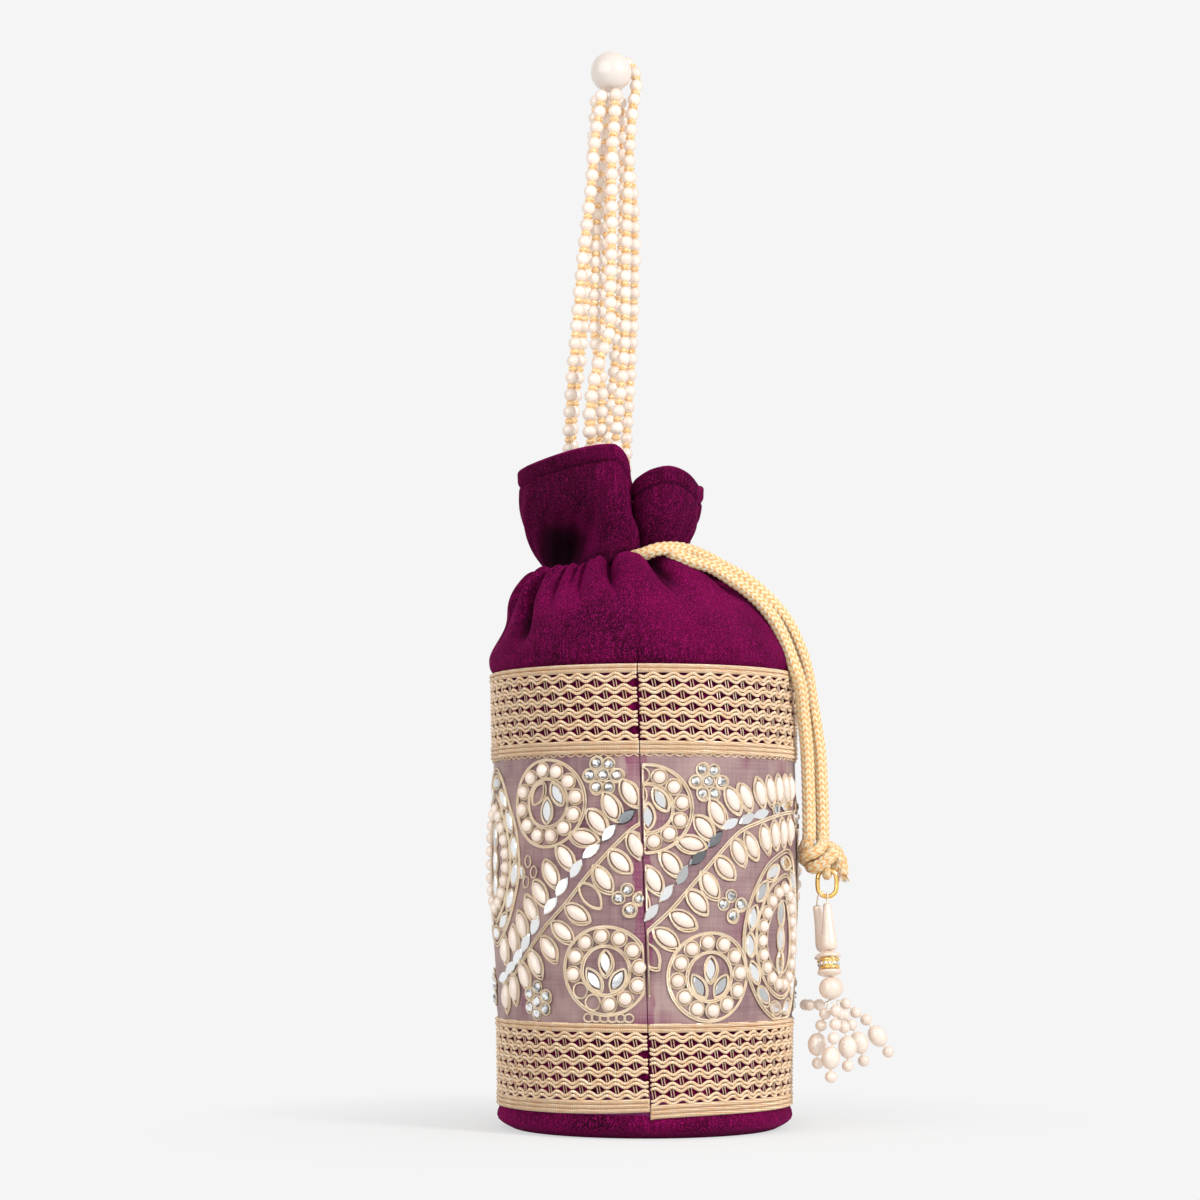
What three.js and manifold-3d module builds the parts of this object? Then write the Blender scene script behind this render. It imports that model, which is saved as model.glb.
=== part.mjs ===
// Drawstring pouch on a stiff round body, with a gathered mouth, a handle of bead strings
// and a pair of bead tassels on the ends of its cord. Millimetres, +Z up, standing on z = 0.
// The side seams lie near x = 0; the front panel is on +X and the back panel on -X.
import * as THREE from "three";
import { mergeVertices } from "three/addons/utils/BufferGeometryUtils.js";
import Module from "manifold-3d";

const wasm = await Module();
wasm.setup();

// Clearance between pieces that touch
const GAP = 0.3;

// Body: a cone that widens a little from the base to the shoulder
const BASE_RADIUS = 47.3;
const SHOULDER_RADIUS = 50.3;
const SHOULDER_HEIGHT = 149.5;
const VELVET = 1.2;
const STIFFENER = 1.4;
const STIFFENER_BELOW_SHOULDER = 3;
const LINING = 0.5;
const TISSUE = 0.4;
const LACE = 0.9;
const LACE_WIDTH = 29;
const BOTTOM_LACE_HEIGHT = 7.5;
const BASE_COVER = 1.2;
const BOARD = 2;
const ROUND_SEGMENTS = 36;

// Side seams: one leaning plane through both sides of the bag
const SEAM_GAP = 0.6;
const SEAM_X_AT_FLOOR = 2;
const SEAM_LEAN = -5 / 180;

// Mouth: the shoulder closes on a neck that the cord has drawn off centre
const SHOULDER_RISE = 37;
const NECK_HEIGHT = SHOULDER_HEIGHT + SHOULDER_RISE;
const NECK_RADIUS = 25;
const NECK_SHIFT = -9.5;
const NECK_TILT = 0.2;
const RUFFLE_TILT = 0.05;
const RUFFLE_RISE = 34.5;
const RUFFLE_HEIGHT = NECK_HEIGHT + RUFFLE_RISE;
const RUFFLE_RADIUS = 30.6;
const LINING_BELOW_HEM = 10;

// Drawcord
const CORD_RADIUS = 2.2;
const CORD_SIDES = 8;
const CHANNEL_START = -38;
const CHANNEL_END = 277;
const EXIT_WIDTH = 17;
const EXIT_HEIGHT = 9;
const EXIT_X = 1.5;

// Jump ring at the knot: two half circles joined by straight sides
const RING_X = 60.3;
const RING_Y = -8;
const RING_BELOW_NECK = 110.85;
const RING_BOTTOM = NECK_HEIGHT - RING_BELOW_NECK;
const RING_WIRE = 0.85;
const RING_BEND = 3.15;
const RING_HEIGHT = 9;
const EYE_CORD = 1.45;

// Bead tassels
const THREAD = 0.25;
const THREAD_LOOP = 1.4;
const BORE = 0.6;
const DROP_LENGTH = 15.5;
const DROP_TOP_RADIUS = 1.35;
const DROP_RADIUS = 2.9;
const CAP_LENGTH = 2;
const CAP_RADIUS = 4.1;
const SPACER_LENGTH = 3.5;
const SPACER_RADIUS = 3.4;
const ROUND_PEARL = 3.75;
const SMALL_PEARL = 1.65;
const OVAL_RADIUS = 3.35;
const OVAL_HALF_LENGTH = 4.1;

// Handle
const STRING_RADIUS = 2.1;
const BIG_PEARL = 7;
const BIG_PEARL_BORE = 0.8;
const BIG_PEARL_PLACE = [-11, 0, 170.1];

const FULL_TURN = 2 * Math.PI;
const radians = THREE.MathUtils.degToRad;

// Materials
function finish(color, roughness, metalness = 0) {
  return new THREE.MeshStandardMaterial({ color, roughness, metalness });
}
const velvet = finish(0x55003e, 0.95);
const tissue = finish(0x9c7c88, 0.6);
const lace = finish(0xd7b482, 0.5, 0.3);
const satin = finish(0x6d1450, 0.5);
const card = finish(0xb9a58a, 0.9);
const buckram = finish(0xe8e2d4, 0.9);
const goldCord = finish(0xf0b969, 0.6);
const gold = finish(0xf5b93c, 0.25, 1);
const nylon = finish(0xe8dcc8, 0.5);
const ivory = finish(0xf4e4d2, 0.25);
const rhinestone = finish(0xdfe6ea, 0.1, 0.6);

// Geometry helpers
function signedVolume(position, index) {
  const a = new THREE.Vector3();
  const b = new THREE.Vector3();
  const c = new THREE.Vector3();
  let six = 0;
  for (let i = 0; i < index.length; i += 3) {
    a.fromBufferAttribute(position, index[i]);
    b.fromBufferAttribute(position, index[i + 1]);
    c.fromBufferAttribute(position, index[i + 2]);
    six += a.dot(b.cross(c));
  }
  return six / 6;
}

// One closed surface with shared vertices, no flat triangles and its faces pointing out
function closed(geometry) {
  geometry.deleteAttribute("normal");
  geometry.deleteAttribute("uv");
  const merged = mergeVertices(geometry, 1e-4);
  const index = [];
  const all = merged.index.array;
  for (let i = 0; i < all.length; i += 3) {
    const [a, b, c] = [all[i], all[i + 1], all[i + 2]];
    if (a !== b && b !== c && c !== a) index.push(a, b, c);
  }
  if (signedVolume(merged.attributes.position, index) < 0) index.reverse();
  merged.setIndex(index);
  return merged;
}

function toSolid(geometry) {
  const shape = closed(geometry);
  return new wasm.Manifold(new wasm.Mesh({
    numProp: 3,
    vertProperties: new Float32Array(shape.attributes.position.array),
    triVerts: new Uint32Array(shape.index.array),
  }));
}

function toGeometry(solid) {
  const mesh = solid.getMesh();
  const geometry = new THREE.BufferGeometry();
  geometry.setAttribute("position", new THREE.BufferAttribute(new Float32Array(mesh.vertProperties), 3));
  geometry.setIndex([...mesh.triVerts]);
  return geometry;
}

function joined(geometries) {
  const solids = geometries.map(toSolid);
  return toGeometry(solids.reduce((sum, solid) => sum.add(solid)));
}

// A profile of [radius, height] points turned about the Z axis
function turned(profile, segments = ROUND_SEGMENTS) {
  const points = profile.map(([radius, height]) => new THREE.Vector2(radius, height));
  return closed(new THREE.LatheGeometry(points, segments).rotateX(Math.PI / 2));
}

// The ring of wall between an inner and an outer profile, both given from the bottom up
function turnedWall(inner, outer) {
  return turned([...inner, ...[...outer].reverse(), inner[0]]);
}

function tube(points, radius, sides, steps) {
  const section = new THREE.Shape();
  for (let i = 0; i < sides; i += 1) {
    const angle = (i / sides) * FULL_TURN;
    const corner = [radius * Math.cos(angle), radius * Math.sin(angle)];
    if (i === 0) section.moveTo(...corner);
    else section.lineTo(...corner);
  }
  const path = new THREE.CatmullRomCurve3(points.map((p) => new THREE.Vector3(...p)));
  return closed(new THREE.ExtrudeGeometry(section, { steps, bevelEnabled: false, extrudePath: path }));
}

function ball([x, y, z], [rx, ry, rz], around = 10, high = 6) {
  const geometry = new THREE.SphereGeometry(1, around, high).rotateX(Math.PI / 2);
  return geometry.scale(rx, ry, rz).translate(x, y, z);
}

function hoop(majorRadius, minorRadius, around = 16, sides = 8) {
  return new THREE.TorusGeometry(majorRadius, minorRadius, sides, around);
}

// A profile moved sideways by a distance, square to each of its points
function offset(profile, distance) {
  return profile.map(([radius, height], i) => {
    const before = profile[Math.max(i - 1, 0)];
    const after = profile[Math.min(i + 1, profile.length - 1)];
    const run = new THREE.Vector2(after[0] - before[0], after[1] - before[1]).normalize();
    return [radius + distance * run.y, height - distance * run.x];
  });
}

function build(name, geometry, material) {
  const mesh = new THREE.Mesh(geometry, material);
  mesh.name = name;
  return mesh;
}

// Cords and bead strings have their heights given from the neck
function fromNeck([x, y, z]) {
  return [x, y, NECK_HEIGHT + z];
}

// Outer radius of the velvet on the straight part of the body
function wallRadius(height) {
  return THREE.MathUtils.lerp(BASE_RADIUS, SHOULDER_RADIUS, height / SHOULDER_HEIGHT);
}

// The drawn mouth: everything above the shoulder moves to the neck's centre and tilts there
function leanMouth(geometry) {
  const position = geometry.attributes.position;
  for (let i = 0; i < position.count; i += 1) {
    const moved = leanPoint([position.getX(i), position.getY(i), position.getZ(i)]);
    position.setXYZ(i, ...moved);
  }
  return geometry;
}

function leanPoint([x, y, z]) {
  const rise = THREE.MathUtils.clamp((z - SHOULDER_HEIGHT) / (NECK_HEIGHT - SHOULDER_HEIGHT), 0, 1);
  const up = THREE.MathUtils.clamp((z - NECK_HEIGHT) / (RUFFLE_HEIGHT - NECK_HEIGHT), 0, 1);
  const tilt = THREE.MathUtils.lerp(NECK_TILT, RUFFLE_TILT, up);
  const share = rise * rise * (3 - 2 * rise);
  return [x + NECK_SHIFT * share, y, z + tilt * share * x];
}

// One side of the seam plane, for cutting a shell into its front and back panels
function seamSide(side) {
  const size = 600;
  const box = new THREE.BoxGeometry(size, size, size);
  box.translate(side * (size + SEAM_GAP) / 2, 0, 0);
  return toSolid(box.rotateY(Math.atan(SEAM_LEAN)).translate(SEAM_X_AT_FLOOR, 0, 0));
}

function panels(name, geometry, material) {
  const solid = toSolid(geometry);
  return [
    build(`${name}_front`, toGeometry(solid.intersect(seamSide(1))), material),
    build(`${name}_back`, toGeometry(solid.intersect(seamSide(-1))), material),
  ];
}

// Velvet: wall, shoulder, neck and ruffle are one piece of cloth on each side
const wallFoot = BASE_COVER + GAP;
const velvetOuter = [
  [wallRadius(wallFoot), wallFoot],
  [wallRadius(SHOULDER_HEIGHT), SHOULDER_HEIGHT],
  [SHOULDER_RADIUS - 1.7, SHOULDER_HEIGHT + 9],
  [SHOULDER_RADIUS - 4.9, SHOULDER_HEIGHT + 17],
  [SHOULDER_RADIUS - 9.8, NECK_HEIGHT - 13.5],
  [NECK_RADIUS + 9, NECK_HEIGHT - 7.5],
  [NECK_RADIUS + 3, NECK_HEIGHT - 3],
  [NECK_RADIUS, NECK_HEIGHT],
  [NECK_RADIUS + 0.6, NECK_HEIGHT + 5],
  [NECK_RADIUS + 3, NECK_HEIGHT + 12],
  [RUFFLE_RADIUS - 0.8, NECK_HEIGHT + 22],
  [RUFFLE_RADIUS, RUFFLE_HEIGHT],
];

function velvetShell() {
  const shell = leanMouth(turnedWall(offset(velvetOuter, -VELVET), velvetOuter));
  const exit = new THREE.BoxGeometry(EXIT_WIDTH, NECK_RADIUS, EXIT_HEIGHT);
  exit.translate(EXIT_X, -NECK_RADIUS, NECK_HEIGHT + NECK_TILT * (EXIT_X - NECK_SHIFT));
  return toGeometry(toSolid(shell).subtract(toSolid(exit)));
}

// Stiff parts of the body and its floor
function baseCover() {
  const rim = 0.5;
  return turned([
    [0, 0],
    [BASE_RADIUS - rim, 0],
    [BASE_RADIUS, rim],
    [BASE_RADIUS, BASE_COVER],
    [0, BASE_COVER],
  ]);
}

const stiffenerTop = SHOULDER_HEIGHT - STIFFENER_BELOW_SHOULDER;
const boardBottom = BASE_COVER + GAP;
const boardTop = boardBottom + BOARD;
const floorHeight = boardTop + GAP;

function baseBoard() {
  const radius = wallRadius(boardBottom) - VELVET - GAP;
  return turned([[0, boardBottom], [radius, boardBottom], [radius, boardTop], [0, boardTop]]);
}

function stiffener() {
  const outer = VELVET + GAP;
  const inner = outer + STIFFENER;
  const at = (depth) => [floorHeight, stiffenerTop].map((z) => [wallRadius(z) - depth, z]);
  return turnedWall(at(inner), at(outer));
}

// Lining: floor, wall and shoulder in one bag, drawn inside the cord at the neck
const waistRadius = NECK_RADIUS - VELVET - 2 * CORD_RADIUS - 3 * GAP;
const liningOuter = [
  ...[floorHeight, stiffenerTop].map((z) => [wallRadius(z) - VELVET - STIFFENER - 2 * GAP, z]),
  [SHOULDER_RADIUS - 5.1, SHOULDER_HEIGHT + 9],
  [SHOULDER_RADIUS - 8.8, SHOULDER_HEIGHT + 16],
  [NECK_RADIUS + 9.5, NECK_HEIGHT - 15],
  [NECK_RADIUS + 1.5, NECK_HEIGHT - 10.5],
  [waistRadius, NECK_HEIGHT - 5],
  [waistRadius, NECK_HEIGHT + 4],
  [NECK_RADIUS - 1.8, NECK_HEIGHT + 12],
  [RUFFLE_RADIUS - 2.6, NECK_HEIGHT + 22],
  [RUFFLE_RADIUS - 2.2, RUFFLE_HEIGHT - LINING_BELOW_HEM],
];

function lining() {
  const inner = offset(liningOuter, -LINING);
  inner[0] = [inner[0][0], floorHeight + LINING];
  return leanMouth(turned([
    [0, floorHeight + LINING],
    ...inner,
    ...[...liningOuter].reverse(),
    [0, floorHeight],
  ]));
}

// Bands round the body, outside the velvet
function band(thickness, bottom, height) {
  const at = (depth) => [bottom, bottom + height].map((z) => [wallRadius(z) + GAP + depth, z]);
  return turnedWall(at(0), at(thickness));
}

const tissueBottom = BOTTOM_LACE_HEIGHT + LACE_WIDTH;
const topLaceBottom = SHOULDER_HEIGHT - LACE_WIDTH;

// Drawcord: the loop in the neck's channel, then two tails down to the knot
function channelCord() {
  const points = [];
  const steps = 24;
  const radius = NECK_RADIUS - VELVET - GAP - CORD_RADIUS;
  for (let i = 0; i <= steps; i += 1) {
    const angle = radians(THREE.MathUtils.lerp(CHANNEL_START, CHANNEL_END, i / steps));
    points.push(leanPoint([radius * Math.cos(angle), radius * Math.sin(angle), NECK_HEIGHT]));
  }
  return tube(points, CORD_RADIUS, CORD_SIDES, 30);
}

const outerTailRoute = [
  [-6.3, -21.2, 0.6], [-4, -21.6, 1], [0, -24.6, 2.8], [5, -25.6, 5.2], [12, -22.4, 6],
  [19, -20, 3.8], [27, -19, -0.2], [35, -18.5, -5.2], [42.3, -17, -11.8], [48, -15, -18.8],
  [51.6, -13.5, -27], [53.7, -12, -36], [55.4, -10.5, -46], [57, -9.5, -56], [58.2, -9, -66],
  [58.9, -8.3, -84], [58.9, -8, -92.4],
];
const innerTailRoute = [
  [6.9, -13.7, 3.4], [6, -16.4, 3], [6.8, -20.4, 2], [9.8, -25.3, 1], [15.5, -26.4, -1.5],
  [22.5, -25.3, -4], [30, -23, -7.8], [34, -21.6, -10.2], [37.5, -20.8, -12.6], [40.7, -20.8, -16],
  [43.4, -21.2, -20], [45.8, -21.6, -26], [49, -21, -35], [51.3, -18.9, -42], [52.4, -15.6, -51],
  [53.7, -13, -64], [54.2, -11.6, -79], [54.3, -11, -92.5],
];

// Knot of the two ends, with the eye that holds the ring and a frayed end beside it
function knot() {
  const ringTop = RING_BOTTOM + RING_HEIGHT;
  const eye = hoop(RING_WIRE + GAP + EYE_CORD, EYE_CORD, 16, 8).rotateY(Math.PI / 2);
  return joined([
    ball([RING_X - 5.7, RING_Y - 2.4, ringTop + 4.6], [3.7, 4.2, 4.4]),
    ball([RING_X - 0.6, RING_Y, ringTop + 5.4], [4.4, 4.6, 3.7]),
    ball([RING_X + 3.9, RING_Y + 0.4, ringTop + 2.9], [2.4, 3, 3.2]),
    ball([RING_X + 5.8, RING_Y + 0.4, ringTop - 2.8], [0.9, 1.4, 3.8]),
    eye.translate(RING_X, RING_Y, ringTop),
  ]);
}

// Jump ring, in the X-Z plane
const ringArcHeight = RING_BOTTOM + RING_BEND;

function ring() {
  const points = [];
  const stepsPerBend = 10;
  const straight = RING_HEIGHT - 2 * RING_BEND;
  for (let bend = 0; bend < 2; bend += 1) {
    for (let i = 0; i <= stepsPerBend; i += 1) {
      const angle = Math.PI * (1 + bend + i / stepsPerBend);
      const z = ringArcHeight + bend * straight + RING_BEND * Math.sin(angle);
      points.push([RING_X + RING_BEND * Math.cos(angle), z]);
    }
  }
  const sides = 8;
  const position = [];
  const index = [];
  points.forEach(([x, z], i) => {
    const high = i > stepsPerBend;
    const middle = ringArcHeight + (high ? straight : 0);
    const out = new THREE.Vector2(x - RING_X, z - middle).normalize();
    for (let j = 0; j < sides; j += 1) {
      const turn = (j / sides) * FULL_TURN;
      const away = RING_WIRE * Math.cos(turn);
      position.push(x + away * out.x, RING_Y + RING_WIRE * Math.sin(turn), z + away * out.y);
      const [a, b] = [i * sides + j, i * sides + ((j + 1) % sides)];
      const next = ((i + 1) % points.length) * sides;
      const [c, d] = [next + j, next + ((j + 1) % sides)];
      index.push(a, b, d, a, d, c);
    }
  });
  const geometry = new THREE.BufferGeometry();
  geometry.setAttribute("position", new THREE.Float32BufferAttribute(position, 3));
  geometry.setIndex(index);
  return closed(geometry);
}

// Each tassel hangs by a thread loop from the ring's lower bend, at an angle round it. Its
// beads lie along an axis that starts at a drop from the loop's centre. Three bead strings
// hang from the end of that axis, and their pearls are placed from there.
const tassels = [
  {
    name: "near",
    bend: 0,
    drop: [-0.2, -1.85, -2.25],
    axis: [0.02, -0.165, -0.986],
    strings: [
      {
        points: [[0.2, -0.6, -0.5], [1.5, -1.4, -3.2], [1.2, -2.8, -7.5], [0.5, -3.6, -11.9]],
        oval: [-0.4, -3.7, -18.2],
        end: [-0.4, -3.7, -24.3],
      },
      {
        points: [[-0.75, 0.3, -0.3], [-1.8, 2.3, -4.3], [-3, 2.5, -8.1]],
        oval: [-4.4, 2.5, -14.2],
        end: [-4.2, 2.5, -20.3],
      },
      {
        points: [[0.75, 0.3, -0.3], [3, 2.5, -4.5], [4.4, 2.5, -8.7]],
        oval: [5.5, 2.5, -15.1],
        end: [5.5, 2.5, -21.2],
      },
    ],
  },
  {
    name: "far",
    bend: -45,
    drop: [-1.17, 1.85, -3.87],
    axis: [0.19, 0.165, -0.968],
    strings: [
      {
        points: [[0.7, 0.5, -0.1], [3.8, 3, -1.6], [7.2, 3.4, -4.5], [10.6, 3.6, -6.9]],
        oval: [14.4, 3.8, -12.3],
        end: [17.9, 3.9, -17.5],
      },
      {
        points: [[0.4, -0.7, -0.3], [2.9, -1.1, -5.1], [5.3, -1.1, -8.3]],
        oval: [7.9, -1.1, -14.2],
        end: [9.3, -1.1, -20.1],
      },
      {
        points: [[-0.8, 0.4, 0], [-4.9, 2.6, -1.9], [-8.1, 3, -2]],
        oval: null,
        end: [-9.3, 6.2, -2.1],
      },
    ],
  },
];

// Parts on the axis, from the top down: a name, a length and a profile outside the bore
const dropProfile = [
  [DROP_TOP_RADIUS, 0],
  [DROP_TOP_RADIUS + 0.45, DROP_LENGTH * 0.35],
  [DROP_RADIUS - 0.25, DROP_LENGTH * 0.72],
  [DROP_RADIUS, DROP_LENGTH * 0.85],
  [DROP_RADIUS - 0.35, DROP_LENGTH * 0.94],
  [DROP_RADIUS - 1.4, DROP_LENGTH],
];
const capProfile = [
  [CAP_RADIUS - 2.2, 0],
  [CAP_RADIUS, CAP_LENGTH * 0.55],
  [CAP_RADIUS - 0.6, CAP_LENGTH],
];
const spacerProfile = [
  [SPACER_RADIUS, 0],
  [SPACER_RADIUS, SPACER_LENGTH],
];
const lowerCapProfile = [...capProfile].reverse().map(([r, s]) => [r, CAP_LENGTH - s]);

function roundProfile(radius) {
  const steps = 8;
  const points = [];
  const open = Math.asin((BORE + GAP) / radius);
  for (let i = 0; i <= steps; i += 1) {
    const angle = THREE.MathUtils.lerp(open, Math.PI - open, i / steps);
    points.push([radius * Math.sin(angle), radius * (1 - Math.cos(angle))]);
  }
  return points;
}

const threaded = [
  { name: "drop_bead", length: DROP_LENGTH, profile: dropProfile, material: ivory },
  { name: "upper_cap", length: CAP_LENGTH, profile: capProfile, material: ivory },
  { name: "crystal_spacer", length: SPACER_LENGTH, profile: spacerProfile, material: rhinestone },
  { name: "lower_cap", length: CAP_LENGTH, profile: lowerCapProfile, material: ivory },
  { name: "round_pearl", length: 2 * ROUND_PEARL, profile: roundProfile(ROUND_PEARL), material: ivory },
];

// Distance along the axis to the end of the last threaded bead
const threadedLength = threaded.reduce((sum, bead) => sum + bead.length + GAP, 0);

function loopCentre(tassel) {
  const bend = radians(tassel.bend);
  const low = ringArcHeight - RING_BEND * Math.cos(bend);
  return new THREE.Vector3(RING_X + RING_BEND * Math.sin(bend), RING_Y, low);
}

function axisPoint(tassel, distance) {
  const down = new THREE.Vector3(...tassel.axis).normalize();
  return loopCentre(tassel).add(new THREE.Vector3(...tassel.drop)).addScaledVector(down, distance);
}

function alongAxis(tassel, geometry, distance) {
  const down = new THREE.Vector3(...tassel.axis).normalize();
  const turn = new THREE.Quaternion().setFromUnitVectors(new THREE.Vector3(0, 0, 1), down);
  const place = axisPoint(tassel, distance);
  return geometry.applyQuaternion(turn).translate(place.x, place.y, place.z);
}

function bead(profile) {
  const bore = [[BORE, profile.at(-1)[1]], [BORE, profile[0][1]]];
  return turned([...profile, ...bore, profile[0]], 12);
}

// The loop round the ring's wire and the thread down through the beads
function tasselThread(tassel) {
  const bend = radians(tassel.bend);
  const centre = loopCentre(tassel);
  const loop = hoop(THREAD_LOOP, THREAD, 16, 6).rotateY(Math.PI / 2).rotateY(-bend);
  const side = Math.sign(tassel.axis[1]);
  const lean = radians(35);
  const foot = new THREE.Vector3(0, side * Math.sin(lean), -Math.cos(lean));
  foot.multiplyScalar(THREAD_LOOP).applyAxisAngle(new THREE.Vector3(0, 1, 0), -bend).add(centre);
  const stem = tube([foot.toArray(), axisPoint(tassel, 0).toArray()], THREAD, 6, 1);
  const shaftEnds = [-THREAD, threadedLength].map((distance) => axisPoint(tassel, distance).toArray());
  const shaft = tube(shaftEnds, THREAD, 6, 1);
  return joined([loop.translate(centre.x, centre.y, centre.z), stem, shaft]);
}

// A string of small pearls with an oval pearl and a last small one
function beadString({ points, oval, end }) {
  const stops = [...points, ...(oval ? [oval] : []), end];
  const thread = tube(stops, THREAD, 4, 2 * stops.length);
  const small = [SMALL_PEARL, SMALL_PEARL, SMALL_PEARL];
  const pearls = [...points.slice(1), end].map((centre) => ball(centre, small, 8, 5));
  if (!oval) return joined([thread, ...pearls]);
  const run = new THREE.Vector3(...end).sub(new THREE.Vector3(...points.at(-1))).normalize();
  const turn = new THREE.Quaternion().setFromUnitVectors(new THREE.Vector3(0, 0, 1), run);
  const egg = ball([0, 0, 0], [OVAL_RADIUS, OVAL_RADIUS, OVAL_HALF_LENGTH], 10, 6);
  return joined([thread, ...pearls, egg.applyQuaternion(turn).translate(...oval)]);
}

function tasselMeshes(tassel) {
  const meshes = [build(`${tassel.name}_tassel_thread`, tasselThread(tassel), nylon)];
  let distance = 0;
  for (const { name, length, profile, material } of threaded) {
    meshes.push(build(`${tassel.name}_${name}`, alongAxis(tassel, bead(profile), distance), material));
    distance += length + GAP;
  }
  tassel.strings.forEach((string, i) => {
    const hanging = beadString(string).translate(...axisPoint(tassel, threadedLength).toArray());
    meshes.push(build(`${tassel.name}_bead_string_${i + 1}`, hanging, ivory));
  });
  return meshes;
}

// Handle: three bead strings run from the mouth to the big pearl and down again, and a
// fourth runs past the pearl. Near legs stand towards -Y and far legs towards +Y.
const handleRoutes = {
  handle_string_1_near: [
    [-23.6, -14.8, 11], [-24.6, -15.6, 27], [-24.8, -16.4, 41], [-24.4, -16.4, 51.6], [-22.6, -15, 75.9],
    [-20.3, -12.8, 102.4], [-17.6, -10, 127.8], [-16.6, -7.8, 142.6], [-14.8, -5.2, 155.3],
    [-14, -3.9, 163.3],
  ],
  handle_string_2_near: [
    [-17.9, -18.4, 11], [-16.8, -19.4, 27], [-14.2, -18.8, 43.1], [-14.2, -18.4, 60], [-16.4, -14.4, 79.1],
    [-16, -10.8, 98.1], [-15.7, -6.6, 118.2], [-14.6, -3.6, 134.1], [-12.4, -1.2, 148.9], [-11, 0, 162.4],
  ],
  handle_string_3_near: [
    [-12.6, -19.4, 11], [-15, -23.6, 27], [-18, -24, 44.2], [-15.6, -23.4, 62.2], [-11.4, -19.4, 75.9],
    [-11.1, -15.4, 91.8], [-10.6, -12, 110.8], [-10.6, -8.8, 136.2], [-9.8, -6, 151.1], [-9.2, -4.5, 163.3],
  ],
  handle_string_4_near: [
    [-7.2, -19.2, 11], [-9, -21.4, 27], [-9.2, -20.8, 41], [-7.2, -18, 61.1], [-6.4, -15, 75.9],
    [-6.2, -11.6, 98.1], [-5.6, -8.4, 118.2], [-5, -4.6, 136.2], [-3.8, -0.4, 155.3], [-2.4, 4.6, 168],
    [-4.6, 8.4, 175], [-8.4, 10.2, 176.4],
  ],
  handle_string_1_far: [
    [-23.6, 14.8, 11], [-24.6, 15.6, 27], [-24.4, 16.6, 51.6], [-21.6, 16, 75.9],
    [-18.6, 13.2, 104.5], [-17, 8.6, 127.8], [-17, 4.4, 146.8], [-15.8, 0.6, 163.2],
  ],
  handle_string_2_far: [
    [-17.9, 18.4, 11], [-18.4, 20.6, 27], [-18, 22, 51.6], [-15, 20, 79.1],
    [-13.4, 16.6, 104.5], [-12.4, 12, 127.8], [-12, 7.8, 146.8], [-12.6, 4.5, 163.3],
  ],
  handle_string_3_far: [
    [-12.6, 19.4, 11], [-12.4, 23.6, 27], [-12, 26, 51.6], [-9.6, 24.8, 79.1],
    [-8, 20, 104.5], [-7, 14.6, 127.8], [-6.9, 8.6, 146.8], [-8, 3.7, 163.3],
  ],
  handle_string_4_far: [
    [-7.2, 19.2, 11], [-6.6, 23, 27], [-5.8, 27, 51.6], [-4.2, 29, 79.1], [-3.2, 25.4, 104.5],
    [-3.4, 20.4, 127.8], [-6, 15, 151.1], [-9.6, 11.6, 166.9], [-11.6, 10.6, 173.9],
  ],
};

function bigPearl() {
  const profile = roundProfile(BIG_PEARL);
  const open = profile[0][0] - BORE;
  const bore = [[BIG_PEARL_BORE, profile.at(-1)[1] - open], [BIG_PEARL_BORE, profile[0][1] + open]];
  const pearl = turned([...profile, ...bore, profile[0]], 16);
  const [x, y, z] = fromNeck(BIG_PEARL_PLACE);
  return pearl.translate(x, y, z - BIG_PEARL);
}

const bag = new THREE.Group();
bag.add(
  build("base_cover", baseCover(), velvet),
  build("base_board", baseBoard(), card),
  build("wall_stiffener", stiffener(), buckram),
  build("lining", lining(), satin),
  ...panels("velvet", velvetShell(), velvet),
  ...panels("tissue_panel", band(TISSUE, tissueBottom, topLaceBottom - tissueBottom), tissue),
  ...panels("top_lace", band(LACE, topLaceBottom + GAP, LACE_WIDTH - 2 * GAP), lace),
  ...panels("bottom_lace", band(LACE, BOTTOM_LACE_HEIGHT, LACE_WIDTH - GAP), lace),
);

const drawcord = new THREE.Group();
drawcord.add(
  build("drawcord_in_channel", channelCord(), goldCord),
  build("drawcord_tail_outer", tube(outerTailRoute.map(fromNeck), CORD_RADIUS, CORD_SIDES, 20), goldCord),
  build("drawcord_tail_inner", tube(innerTailRoute.map(fromNeck), CORD_RADIUS, CORD_SIDES, 18), goldCord),
  build("drawcord_knot", knot(), goldCord),
  build("tassel_ring", ring(), gold),
);
for (const tassel of tassels) drawcord.add(...tasselMeshes(tassel));

const handle = new THREE.Group();
for (const [name, route] of Object.entries(handleRoutes)) {
  handle.add(build(name, tube(route.map(fromNeck), STRING_RADIUS, CORD_SIDES, 15), ivory));
}
handle.add(build("handle_pearl", bigPearl(), ivory));

const group = new THREE.Group();
group.add(bag, drawcord, handle);
export default group;
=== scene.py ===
"""A drawstring pouch in purple velvet: a stiff round body with embroidered panels between two
gold lace bands, a gathered mouth with a ruffle, a knitted gold cord with a pair of bead
tassels, and a handle of pearl strings.

Lengths in this file are millimetres until a mesh is made. The front panel is on +X, the near
side seam on -Y, and the bag stands on z = 0."""
import math

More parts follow.
